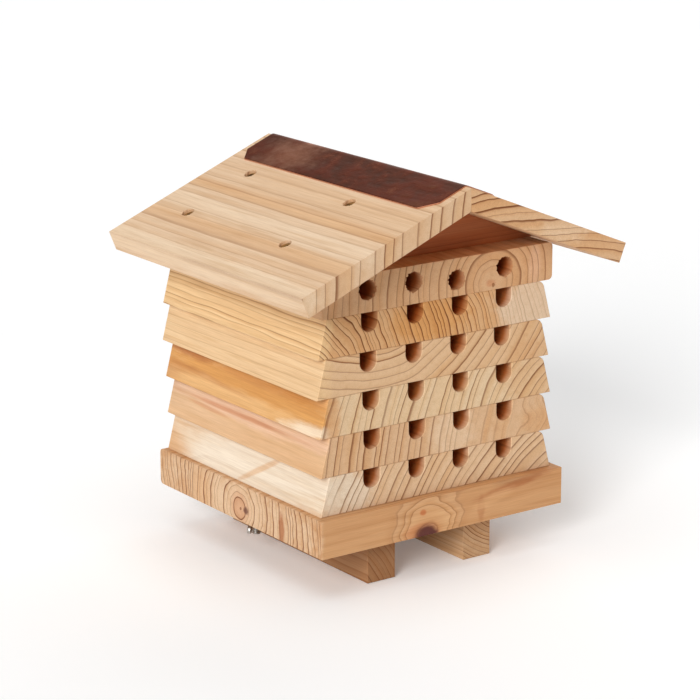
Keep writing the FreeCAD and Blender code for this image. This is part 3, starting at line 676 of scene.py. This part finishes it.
def tear_rims(piece, middles, axis, radius, amount, seed):
    """Break up the rims of drilled holes, where the drill tore the fibres out of the surface."""
    across = axis.orthogonal().normalized()
    aside = axis.cross(across)
    count = 72                          # points round a hole
    work = bmesh.new()
    for number, middle in enumerate(middles):
        rings = []
        for height, share_torn in ((-1.1, 0), (0, 1.25), (1, 1.25)):
            ring = []
            for index in range(count):
                angle = 2 * math.pi * index / count
                out = across * math.cos(angle) + aside * math.sin(angle)
                # a coarse and a fine noise along the rim, the same at all three heights
                spot = out * 6.5 + Vector((seed, number * 3.7, 0))
                torn = noise.noise(spot) + 0.8 * noise.noise(spot * 2.7)
                torn = radius + 0.03 * MM + max(torn + 0.10, 0.0) * amount * share_torn
                ring.append(work.verts.new(middle + out * torn + axis * (height * amount)))
            rings.append(ring)
        walled(work, rings[0], rings[1])
        walled(work, rings[1], rings[2])
        work.faces.new(list(reversed(rings[0])))
        work.faces.new(rings[-1])
    bmesh.ops.recalc_face_normals(work, faces=work.faces)
    mesh = filled("torn rims", work)
    cutter = new_piece("torn rims", mesh)
    cut = piece.modifiers.new("torn rims", "BOOLEAN")
    cut.operation = "DIFFERENCE"
    cut.solver = "EXACT"
    cut.object = cutter
    baked(piece)
    bpy.data.objects.remove(cutter)
    bpy.data.meshes.remove(mesh)
    return piece


def finish_piece(piece, body, slot, *nodes):
    """Hand a finished piece over: what it rides on, and the CAD nodes it stands for, which it hides; its
    finish is not used.
    """
    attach(piece, body)
    if nodes:
        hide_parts(*nodes)
    return piece


# ---------------------------------------------------------------- geometry nodes


def geometry_tree(name, **inputs):
    """A geometry tree whose inputs are given as kind="Name, Name": (tree, graph, {name: value})."""
    tree = bpy.data.node_groups.new(name, "GeometryNodeTree")
    tree.interface.new_socket("Geometry", in_out="INPUT", socket_type="NodeSocketGeometry")
    for kind, labels in inputs.items():
        for label in labels.split(", "):
            tree.interface.new_socket(label, in_out="INPUT", socket_type=f"NodeSocket{kind}")
    tree.interface.new_socket("Geometry", in_out="OUTPUT", socket_type="NodeSocketGeometry")
    graph = Graph(tree)
    entry = graph.node("NodeGroupInput")
    named = {socket.name: Value(graph, socket) for socket in entry.socket.node.outputs if socket.name}
    return tree, graph, named


def close_tree(graph, geometry, material):
    """Realize the instances, set the material, and send the geometry out."""
    whole = graph.node("GeometryNodeSetMaterial", None, {
        "Geometry": realized(graph, geometry), "Material": material})
    graph.node("NodeGroupOutput", None, {"Geometry": whole})


def grown(name, points, tree, values):
    """A piece made by a geometry tree from a few points, as a plain mesh."""
    mesh = bpy.data.meshes.new(name)
    mesh.from_pydata(points, [], [])
    piece = new_piece(name, mesh)
    modifier = piece.modifiers.new("nodes", "NODES")
    modifier.node_group = tree
    for item in tree.interface.items_tree:
        if item.item_type == "SOCKET" and item.in_out == "INPUT" and item.name in values:
            modifier[item.identifier] = values[item.name]
    return baked(piece)


def tube(graph, vertices, radius, depth, rows=1):
    """A closed cylinder along Z about the origin."""
    return graph.node("GeometryNodeMeshCylinder", {"fill_type": "NGON"}, {
        "Vertices": vertices, "Side Segments": rows, "Radius": radius, "Depth": depth})


def cone(graph, vertices, top, bottom, depth):
    """A cone, or a slice of one, that stands on the origin."""
    return graph.node("GeometryNodeMeshCone", {"fill_type": "NGON"}, {
        "Vertices": vertices, "Radius Top": top, "Radius Bottom": bottom, "Depth": depth})


def moved(graph, geometry, offset=(0, 0, 0), turn=(0, 0, 0), size=(1, 1, 1)):
    """Geometry moved, turned and scaled."""
    return graph.node("GeometryNodeTransform", None, {
        "Geometry": geometry, "Translation": offset, "Rotation": turn, "Scale": size})


def reshaped(graph, geometry, position, selection=True):
    """Geometry with its points, or the selected ones, at new places."""
    return graph.node("GeometryNodeSetPosition", None, {
        "Geometry": geometry, "Selection": selection, "Position": position})


def over(graph, value, limit):
    """Whether a value is over a limit."""
    return graph.node("FunctionNodeCompare", {"data_type": "FLOAT", "operation": "GREATER_THAN"},
                      {0: value, 1: limit})


def repeated(graph, points, geometry, **sockets):
    """Geometry at each point."""
    return graph.node("GeometryNodeInstanceOnPoints", None, {
        "Points": points, "Instance": geometry, **sockets})


def realized(graph, geometry):
    """Instances turned into real geometry."""
    return graph.node("GeometryNodeRealizeInstances", None, {"Geometry": geometry})


def pared(graph, solid, *cutters):
    """A solid less its cutters."""
    return graph.node("GeometryNodeMeshBoolean", {"operation": "DIFFERENCE", "solver": "EXACT"}, {
        "Mesh 1": solid, "Mesh 2": list(cutters)})


def tray_tree():
    """A board with bevelled sides, a row of blind U-grooves in its top, and two rod holes."""
    tree, graph, size = geometry_tree(
        "Grooved Tray", Int="Groove Count", Vector="Middle", Material="Wood",
        Float="Width Low, Width High, Height, Depth, Groove Width, Groove Depth, Groove Length, "
              "Groove Spacing, Rod Hole, Rod Spread, Rod Back")
    overrun = 4 * MM                    # how far a groove's cutter comes out of the front
    above = 12 * MM                     # how far its walls are drawn up
    block = graph.node("GeometryNodeMeshCube", None, {
        "Size": graph.vector(size["Width Low"], size["Depth"], size["Height"])})
    x, y, z = graph.split(graph.node("GeometryNodeInputPosition"))
    narrow = size["Width High"] / size["Width Low"]
    block = reshaped(graph, block, graph.vector(x * narrow, y, z), over(graph, z, 0.0))

    # the groove cutter: round below, straight walls above
    half = size["Groove Width"] * 0.5
    cutter = tube(graph, 48, half, size["Groove Length"] + overrun)
    cutter = moved(graph, cutter, turn=(math.radians(90), 0, 0))
    wide = (x * 1.4).maths("MINIMUM", x * 1.4, half)
    wide = wide.maths("MAXIMUM", wide, half * -1)
    cutter = reshaped(graph, cutter, graph.vector(wide, y, z + above), over(graph, z, TOUCH))
    row = graph.node("GeometryNodeMeshLine", {"mode": "OFFSET", "count_mode": "TOTAL"}, {
        "Count": size["Groove Count"],
        "Start Location": graph.vector(size["Groove Spacing"] * (size["Groove Count"] - 1) * -0.5,
                                       (size["Groove Length"] - size["Depth"]) * 0.5 - overrun / 2,
                                       size["Height"] * 0.5 - size["Groove Depth"] + half),
        "Offset": graph.vector(size["Groove Spacing"])})
    rods = graph.node("GeometryNodeMeshLine", {"mode": "END_POINTS", "count_mode": "TOTAL"}, {
        "Count": 2, "Start Location": graph.vector(size["Rod Spread"] * -0.5, size["Rod Back"]),
        "Offset": graph.vector(size["Rod Spread"] * 0.5, size["Rod Back"])})
    bore = tube(graph, 40, size["Rod Hole"] * 0.5, size["Height"] * 2)
    cut = pared(graph, block, realized(graph, repeated(graph, row, cutter)),
                realized(graph, repeated(graph, rods, bore)))
    lifted = graph.shift(size["Middle"], graph.vector(z=size["Height"] * 0.5))
    close_tree(graph, moved(graph, cut, offset=lifted), size["Wood"])
    return tree


def screw_tree():
    """A countersunk screw with a cross recess and a thread, at each point."""
    tree, graph, size = geometry_tree(
        "Wood Screw", Vector="Turn", Material="Metal",
        Float="Head, Head Height, Shank, Length, Point, Recess, Thread Pitch")
    tall = size["Head Height"]
    core = size["Shank"] * 0.36         # radius under the thread
    head = moved(graph, cone(graph, 40, size["Head"] * 0.5, size["Shank"] * 0.5, tall),
                 offset=graph.vector(z=tall * -1))
    arm = cone(graph, 4, size["Recess"] * 0.5, size["Recess"] * 0.16, tall * 1.1)
    arm = moved(graph, arm, turn=(0, 0, math.radians(45)))
    arm = moved(graph, arm, offset=graph.vector(z=tall * -0.9), size=(1.36, 0.24, 1))
    head = pared(graph, head, arm, moved(graph, arm, turn=(0, 0, math.radians(90))))
    run = size["Length"] - tall - size["Point"]
    shank = moved(graph, tube(graph, 20, core, run), offset=graph.vector(z=(tall + run * 0.5) * -1))
    tip = moved(graph, cone(graph, 20, core, 0.1 * MM, size["Point"]),
                offset=graph.vector(z=size["Length"] * -1))
    spiral = graph.node("GeometryNodeCurveSpiral", None, {
        "Resolution": 14, "Rotations": run / size["Thread Pitch"], "Start Radius": core,
        "End Radius": core, "Height": run})
    edge = graph.node("GeometryNodeCurvePrimitiveCircle", None, {
        "Resolution": 4, "Radius": size["Shank"] * 0.13})
    thread = graph.node("GeometryNodeCurveToMesh", None, {
        "Curve": spiral, "Profile Curve": edge, "Fill Caps": True})
    thread = moved(graph, thread, offset=graph.vector(z=(tall + run) * -1))
    screw = graph.node("GeometryNodeJoinGeometry", None, {"Geometry": [head, shank, tip, thread]})
    turn = graph.node("FunctionNodeEulerToRotation", None, {"Euler": size["Turn"]})
    spots = graph.node("GeometryNodeMeshToPoints", None, {"Mesh": size["Geometry"]})
    close_tree(graph, repeated(graph, spots, screw, Rotation=turn), size["Metal"])
    return tree


def thread_tree():
    """A threaded rod with bevelled ends, with its middle at each point."""
    tree, graph, size = geometry_tree("Threaded Rod", Int="Rows", Material="Metal",
                                      Float="Diameter, Length, Thread Pitch, Thread Depth, Bevel")
    rod = tube(graph, 28, size["Diameter"] * 0.5, size["Length"], size["Rows"])
    x, y, z = graph.split(graph.node("GeometryNodeInputPosition"))
    along = z / size["Thread Pitch"] - y.maths("ARCTAN2", y, x) / (2 * math.pi)
    wave = along.maths("PINGPONG", along, 0.5) * 2
    ends = (size["Length"] * 0.5 - z.maths("ABSOLUTE", z)) / size["Bevel"]
    lead = 1 - ends.maths("MINIMUM", ends, 1.0)
    cut = wave * size["Thread Depth"] + lead * size["Bevel"] * 0.6
    keep = 1 - cut / (size["Diameter"] * 0.5)
    rod = reshaped(graph, rod, graph.vector(x * keep, y * keep, z))
    spots = graph.node("GeometryNodeMeshToPoints", None, {"Mesh": size["Geometry"]})
    close_tree(graph, repeated(graph, spots, rod), size["Metal"])
    return tree


# ---------------------------------------------------------------- operators


def plain_board(name, body):
    """A board as the CAD model has it, with eased edges."""
    easing = bpy.context.scene.hive_wood.easing
    finish_piece(shaded(eased(board_copy(name), easing)), body, "cedar", name)


class HIVE_OT_trays(bpy.types.Operator):
    """Make the five grooved trays"""

    bl_idname = "hive.trays"
    bl_label = "Grooved Trays"

    def execute(self, context):
        look = context.scene.hive_wood
        tree = tray_tree()
        for name in TRAYS:
            low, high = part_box(name)
            x, y = (low.x + high.x) / 2, (low.y + high.y) / 2
            piece = grown(f"{name}_wood", [(0, 0, 0)], tree, {
                "Width Low": high.x - low.x, "Width High": TRAY_TOP_WIDTH, "Height": high.z - low.z,
                "Depth": high.y - low.y, "Groove Width": NEST_WIDTH, "Groove Depth": GROOVE_DEPTH,
                "Groove Length": NEST_LENGTH, "Groove Spacing": NEST_SPACING, "Groove Count": 4,
                "Rod Hole": ROD_HOLE, "Rod Spread": 2 * ROD_X, "Rod Back": ROD_Y - y,
                "Middle": (x, y, low.z), "Wood": wood(name)})
            right = x + TRAY_TOP_WIDTH / 2 - TOUCH
            rounded(piece, look.worn_corner, Vector((0, 1, 0)), lambda spot: (
                spot.x > right and spot.z > high.z - TOUCH))
            shaded(eased(piece, look.easing))
            mark_hole_shade(piece, lambda spot: self.is_in_groove(spot, low, high))
            finish_piece(piece, name, "cedar", name)
        return {"FINISHED"}

    @staticmethod
    def is_in_groove(spot, low, high):
        """Whether a face's middle lies on the wall of one of the four grooves."""
        aside = abs((spot.x / NEST_SPACING) % 1 - 0.5) * NEST_SPACING
        return (abs(spot.x) < 2 * NEST_SPACING and aside < NEST_WIDTH / 2 + 0.05 * MM
                and low.y + 0.6 * MM < spot.y < high.y - 15 * MM
                and high.z - GROOVE_DEPTH - 0.1 * MM < spot.z < high.z - 0.5 * MM)


class HIVE_OT_base(bpy.types.Operator):
    """Make the base board and its two feet"""

    bl_idname = "hive.base"
    bl_label = "Base and Feet"

    def execute(self, context):
        look = context.scene.hive_wood
        low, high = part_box("base_board")
        board = rounded(board_copy("base_board"), look.worn_edge, Vector((1, 0, 0)), lambda spot: (
            spot.y > high.y - TOUCH and min(high.z - spot.z, spot.z - low.z) < TOUCH))
        finish_piece(shaded(eased(board, look.easing)), "base", "cedar", "base_board")
        for name in ("left_foot", "right_foot"):
            plain_board(name, "base")
        return {"FINISHED"}


class HIVE_OT_head(bpy.types.Operator):
    """Make the drilled block and the two gables"""

    bl_idname = "hive.head"
    bl_label = "Drilled Block and Gables"

    def execute(self, context):
        look = context.scene.hive_wood
        low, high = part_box("drilled_block")
        block = rounded(board_copy("drilled_block"), look.worn_edge, Vector((0, 1, 0)), lambda spot: (
            spot.x > high.x - TOUCH and min(high.z - spot.z, spot.z - low.z) < TOUCH))
        eased(block, look.easing)
        middles = []
        for index, (aside, lift) in enumerate(NEST_DRIFTS):
            x = (index - 1.5) * NEST_SPACING + aside * MM
            middles.append(Vector((x, low.y, low.z + NEST_RISE + lift * MM)))
        tear_rims(block, middles, Vector((0, -1, 0)), NEST_WIDTH / 2, look.torn_rim, 1.3)
        shaded(block)
        mark_hole_shade(block, lambda spot: spot.y > low.y + 0.1 * MM and any(
            math.hypot(spot.x - middle.x, spot.z - middle.z) < NEST_WIDTH / 2 + look.torn_rim
            for middle in middles))
        finish_piece(block, "head", "cedar", "drilled_block")
        for name in ("front_gable", "rear_gable"):
            plain_board(name, "head")
        return {"FINISHED"}


class HIVE_OT_roof(bpy.types.Operator):
    """Make the two roof boards"""

    bl_idname = "hive.roof"
    bl_label = "Roof Boards"

    def execute(self, context):
        look = context.scene.hive_wood
        bore = ROOF_SCREW_BORE / 2
        for side, sign in SIDES.items():
            name = f"{side}_roof_board"
            piece = eased(board_copy(name), look.easing)
            normal = Vector((sign * math.sin(PITCH), 0, math.cos(PITCH)))
            places = [Vector(spot) for spot in roof_screw_places(sign, 0)]
            tear_rims(piece, places, normal, bore, look.torn_rim * 0.6, 7.1 + sign)
            shaded(piece)
            mark_hole_shade(piece, lambda spot: any(
                (spot - place).cross(normal).length < bore * 1.2
                and (spot - place).dot(normal) < -0.1 * MM for place in places))
            finish_piece(piece, "head", "cedar", name)
        return {"FINISHED"}


def roof_screw_places(sign, sink):
    """Where the roof screws' heads lie on one slope, a depth below its surface."""
    spots = []
    for gable in ("front_gable", "rear_gable"):
        low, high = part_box(gable)
        for down in ROOF_SCREW_DOWN:
            run = down * math.cos(PITCH) - sink * math.sin(PITCH)
            drop = down * math.sin(PITCH) + sink * math.cos(PITCH)
            spots.append((sign * run, (low.y + high.y) / 2 + ROOF_SCREW_BACK, RIDGE - drop))
    return spots


class HIVE_OT_ridge_cap(bpy.types.Operator):
    """Make the folded copper cap over the ridge"""

    bl_idname = "hive.ridge_cap"
    bl_label = "Ridge Cap"

    def execute(self, context):
        low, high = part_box("ridge_cap")
        half, rows = (high.y - low.y) / 2, 72
        profile = self.fold(context.scene.hive_metal.ridge_bend, high.z)
        work = bmesh.new()
        grid = []
        for row in range(-rows, rows + 1):
            line = []
            for way, down, x, z in profile:
                y = row / rows * (half - max(0, down - (CAP_REACH - CAP_CLIP)))
                dent = noise.noise(Vector((x * 45, y * 28, 3.1))) * 0.5 + 0.5
                normal = Vector((way * math.sin(PITCH), 0, math.cos(PITCH)))
                line.append(work.verts.new(Vector((x, y, z)) - normal * (0.10 * MM * dent)))
            grid.append(line)
        for lower, upper in zip(grid, grid[1:]):
            for index in range(len(lower) - 1):
                work.faces.new((lower[index], lower[index + 1], upper[index + 1], upper[index]))
        piece = new_piece("ridge_cap_sheet", filled("ridge_cap_sheet", work), tarnished_copper())
        solid = piece.modifiers.new("thickness", "SOLIDIFY")
        solid.thickness = CAP_SHEET * 0.86
        solid.offset = -1
        solid.use_even_offset = True
        baked(piece)
        bevelled(piece, 0.12 * MM, 2, "ANGLE", angle_limit=math.radians(40))
        smooth(piece.data, 40)
        finish_piece(piece, "head", "copper_sheet", "ridge_cap")
        return {"FINISHED"}

    @staticmethod
    def fold(bend, crown, columns=22):
        """The folded sheet from one lower edge to the other: (side, way down the slope, x, z)."""
        wide = bend * math.tan(PITCH / 2) * 2.2     # the rounded part of a slope
        profile = []
        for column in range(-columns, columns + 1):
            way = 1 if column >= 0 else -1
            down = abs(CAP_REACH * column / columns)
            turn, drop = (PITCH * down / wide / 2, 0.22 * MM) if down < wide else (PITCH, 0)
            profile.append((way, down, way * down * math.cos(turn), crown - drop - down * math.sin(turn)))
        return profile


class HIVE_OT_screws(bpy.types.Operator):
    """Make the roof, gable and foot screws"""

    bl_idname = "hive.screws"
    bl_label = "Screws"

    def execute(self, context):
        look = context.scene.hive_metal
        zinc = dull_metal("zinc_plate", tuple(look.zinc), (0.08, 0.05, 0.025), 0.36)
        size = {"Head": SCREW_HEAD, "Head Height": 2.2 * MM, "Shank": 3.5 * MM, "Point": 4 * MM,
                "Recess": 3.4 * MM, "Thread Pitch": 1.6 * MM, "Metal": zinc}
        foot_low, foot_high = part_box("foot_screws")
        gable_low, gable_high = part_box("gable_screws")
        sets = [("foot_screws", "base", (0, 0, 0), foot_high.z - foot_low.z,
                 self.corners(foot_low, foot_high, foot_high.z)),
                ("gable_screws", "head", (math.pi, 0, 0), gable_high.z - gable_low.z,
                 self.corners(gable_low, gable_high, gable_low.z))]
        for side, sign in SIDES.items():
            sets.append((f"{side}_roof_screws", "head", (0, sign * PITCH, 0), 30 * MM,
                         roof_screw_places(sign, ROOF_SCREW_SINK)))
        tree = screw_tree()
        for name, body, turn, long, spots in sets:
            piece = grown(f"{name}_cross_head", spots, tree, {**size, "Length": long, "Turn": turn})
            smooth(piece.data, 40)
            finish_piece(piece, body, "zinc_screws", name)
        return {"FINISHED"}

    @staticmethod
    def corners(low, high, height):
        """The middles of four screws whose heads fill the corners of a box."""
        x = high.x - SCREW_HEAD / 2
        return [(way * x, y, height) for way in (-1, 1)
                for y in (low.y + SCREW_HEAD / 2, high.y - SCREW_HEAD / 2)]


class HIVE_OT_rods(bpy.types.Operator):
    """Make the clamp rods, washers and wing nuts"""

    bl_idname = "hive.rods"
    bl_label = "Rods, Washers and Wing Nuts"

    def execute(self, context):
        look = context.scene.hive_metal
        steel = dull_metal("dull_steel", tuple(look.steel), (0.24, 0.20, 0.16), 0.30)
        tree = thread_tree()
        for side, sign in SIDES.items():
            self.rod(side, sign * ROD_X, steel, look, tree)
            self.washer(side, sign * ROD_X, steel)
            self.nut(side, sign * ROD_X, steel)
        return {"FINISHED"}

    @staticmethod
    def rod(side, x, steel, look, tree):
        """A threaded rod and the low dome of its head."""
        low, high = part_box(f"{side}_rod")
        top = high.z - ROD_HEAD_HEIGHT
        run = top - low.z
        rod = grown(f"{side}_rod_thread", [(x, ROD_Y, (top + low.z) / 2)], tree, {
            "Diameter": ROD_DIAMETER, "Length": run, "Thread Pitch": look.thread_pitch,
            "Thread Depth": look.thread_depth, "Bevel": 0.6 * MM,
            "Rows": int(run / look.thread_pitch * 6), "Metal": steel})
        smooth(rod.data, 60)
        finish_piece(rod, "head", "stainless_hardware", f"{side}_rod")
        dome = [(0, 3.0), (1.6, 2.92), (3.1, 2.62), (4.5, 2.05), (5.6, 1.4), (6.3, 0.75),
                (6.5, 0.3), (6.35, 0), (2.4, 0), (0, 0)]
        cap = turned(f"{side}_rod_head", dome, (x, ROD_Y, top), 40, steel)
        finish_piece(cap, "head", "stainless_hardware")

    @staticmethod
    def washer(side, x, steel):
        """A flat washer with eased rims."""
        low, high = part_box(f"{side}_washer")
        tall = (high.z - low.z) / MM
        ring = [(2.65, 0.15), (2.8, 0), (7.3, 0), (7.5, 0.2), (7.5, tall - 0.35), (7.42, tall - 0.12),
                (7.2, tall), (2.8, tall), (2.65, tall - 0.15), (2.65, 0.15)]
        piece = turned(f"{side}_washer_ring", ring, (x, ROD_Y, low.z), 56, steel)
        finish_piece(piece, f"{side}_washer", "stainless_hardware", f"{side}_washer")

    @staticmethod
    def nut(side, x, steel):
        """A cast wing nut: a threaded hub and two wings, run together and softened."""
        hub = 6.4
        bore = [(2.55 + 0.28 * (index % 2), hub - index * 0.4) for index in range(17)]
        profile = [(4.9, 0.05), (5.2, 0.35), (4.15, hub - 0.5), (3.8, hub - 0.05)] + bore + [(4.9, 0.05)]
        nut = turned(f"{side}_nut_casting", profile, (0, 0, 0), 44, steel)
        wing = [(3.4, 1.2), (5.2, 1.15), (6.9, 1.95), (9.2, 3.9), (11.2, 5.9), (11.9, 7.2), (11.95, 8.2),
                (11.4, 8.95), (10.4, 9.15), (9.3, 8.7), (8.5, 7.5), (6.9, 6.1), (5.0, 5.1), (3.4, 5.3)]
        work = bmesh.new()
        work.from_mesh(nut.data)
        for way in (-1, 1):
            faces = []
            for y in (-0.95, 0.95):
                faces.append([work.verts.new((way * out * MM, y * MM, up * MM)) for out, up in wing])
                work.faces.new(faces[-1])
            walled(work, *faces)
        bmesh.ops.recalc_face_normals(work, faces=work.faces)
        work.to_mesh(nut.data)
        work.free()
        remesh = nut.modifiers.new("cast", "REMESH")
        remesh.mode = "VOXEL"
        remesh.voxel_size = 0.2 * MM
        soften = nut.modifiers.new("soften", "SMOOTH")
        soften.factor = 0.5
        soften.iterations = 5
        baked(nut)
        turn = Matrix.Rotation(math.radians(37), 4, "Z") @ Matrix.Rotation(math.pi, 4, "X")
        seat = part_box(f"{side}_wing_nut")[1].z
        nut.data.transform(Matrix.Translation((x, ROD_Y, seat)) @ turn)
        smooth(nut.data, 60)
        finish_piece(nut, f"{side}_wing_nut", "stainless_hardware", f"{side}_wing_nut")


def turned(name, outline, middle, segments, material):
    """A piece turned on a lathe from (radius, height) in millimetres."""
    work = bmesh.new()
    rings = []
    for radius, height in outline:
        ring = []
        for index in range(segments if radius > 0 else 1):
            angle = 2 * math.pi * index / segments
            ring.append(work.verts.new((radius * MM * math.cos(angle), radius * MM * math.sin(angle),
                                        height * MM)))
        rings.append(ring)
    for lower, upper in zip(rings, rings[1:]):
        for index in range(segments):
            after = (index + 1) % segments
            corners = [lower[index % len(lower)], lower[after % len(lower)],
                       upper[after % len(upper)], upper[index % len(upper)]]
            corners = list(dict.fromkeys(corners))
            if len(corners) > 2:
                work.faces.new(corners)
    bmesh.ops.remove_doubles(work, verts=work.verts, dist=0.001 * MM)
    bmesh.ops.recalc_face_normals(work, faces=work.faces)
    mesh = filled(name, work)
    mesh.transform(Matrix.Translation(middle))
    smooth(mesh, 40)
    return new_piece(name, mesh, material)


# The camera's place, and its right, up and back.
CAMERA_PLACE = (-0.77676, -1.07841, 0.46716)
CAMERA_AXES = [Vector((0.81452, -0.58013, -0.00190)), Vector((0.15468, 0.21402, 0.96450)),
               Vector((-0.55913, -0.78590, 0.26406))]

# Each lamp's direction round and up, and how wide its light is, in degrees.
LAMPS = {"key": (-56, 25, 24), "top": (-50, 74, 50), "fill": (125, 32, 60)}
FLOOR_SPAN = 30.0
FLOOR_DROP = 0.2 * MM


class HIVE_OT_stage(bpy.types.Operator):
    """Lay the floor, hang the lights and place the camera"""

    bl_idname = "hive.stage"
    bl_label = "Stage"

    def execute(self, context):
        scene = context.scene
        look = scene.hive_stage
        scene.view_settings.view_transform = "Standard"
        scene.view_settings.look = "None"

        material, graph, skin = shader("pale_floor", Roughness=0.9)
        soft = graph.cloud(graph.node("ShaderNodeTexCoord", None, None, "Object"), 3.0, 2.0)
        graph.feed(skin.inputs["Base Color"], graph.mix(
            soft, tuple(look.floor), tuple(part * 0.985 for part in look.floor)))
        skin.inputs["Emission Color"].default_value = (1, 1, 1, 1)
        skin.inputs["Emission Strength"].default_value = look.glow
        mesh = bpy.data.meshes.new("floor")
        mesh.from_pydata([(x * FLOOR_SPAN, y * FLOOR_SPAN, -FLOOR_DROP)
                          for x, y in ((-1, -1), (1, -1), (1, 1), (-1, 1))], [], [(0, 1, 2, 3)])
        new_piece("floor", mesh, material)

        world = bpy.data.worlds.new("sky")
        world.use_nodes = True
        graph = Graph(world.node_tree)
        light = graph.node("ShaderNodeBackground", None, {"Color": (1.0, 1.0, 1.0), "Strength": look.sky})
        graph.node("ShaderNodeOutputWorld", None, {"Surface": light})
        scene.world = world

        for name, (azimuth, rise, softness) in LAMPS.items():
            lamp = bpy.data.lights.new(name, "SUN")
            lamp.energy = getattr(look, name)
            lamp.angle = math.radians(softness)
            holder = bpy.data.objects.new(name, lamp)
            scene.collection.objects.link(holder)
            turn, tilt = math.radians(azimuth), math.radians(rise)
            away = Vector((math.sin(turn) * math.cos(tilt), -math.cos(turn) * math.cos(tilt), math.sin(tilt)))
            holder.location = away
            holder.rotation_euler = away.to_track_quat("Z", "Y").to_euler()

        camera = bpy.data.cameras.new("camera")
        camera.lens = look.lens
        camera.sensor_width = 36
        holder = bpy.data.objects.new("camera", camera)
        holder.matrix_world = (Matrix.Translation(CAMERA_PLACE)
                               @ Matrix(CAMERA_AXES).transposed().to_4x4())
        scene.collection.objects.link(holder)
        scene.camera = holder
        return {"FINISHED"}


PIECES = [HIVE_OT_trays, HIVE_OT_base, HIVE_OT_head, HIVE_OT_roof, HIVE_OT_ridge_cap,
          HIVE_OT_screws, HIVE_OT_rods, HIVE_OT_stage]
SETTINGS = {"hive_wood": WoodSettings, "hive_metal": MetalSettings, "hive_stage": StageSettings}


class HIVE_PT_panel(bpy.types.Panel):
    """Lists the hive's sizes, colours and pieces in the sidebar"""

    bl_idname = "HIVE_PT_panel"
    bl_label = "Bee Hive"
    bl_space_type = "VIEW_3D"
    bl_region_type = "UI"
    bl_category = "Bee Hive"

    def draw(self, context):
        for name, group in SETTINGS.items():
            box = self.layout.box()
            for field in group.__annotations__:
                box.prop(getattr(context.scene, name), field)
        for piece in PIECES:
            self.layout.operator(piece.bl_idname)


def register():
    """Make the classes and the settings known to Blender."""
    for item in [*SETTINGS.values(), *PIECES, HIVE_PT_panel]:
        bpy.utils.register_class(item)
    for name, group in SETTINGS.items():
        setattr(bpy.types.Scene, name, PointerProperty(type=group))


def unregister():
    """Take the classes and the settings away again."""
    for name in SETTINGS:
        delattr(bpy.types.Scene, name)
    for item in reversed([*SETTINGS.values(), *PIECES, HIVE_PT_panel]):
        bpy.utils.unregister_class(item)


def main():
    """Build every piece and the stage."""
    register()
    for piece in PIECES:
        group, action = piece.bl_idname.split(".")
        getattr(getattr(bpy.ops, group), action)()


if __name__ == "__main__":
    main()
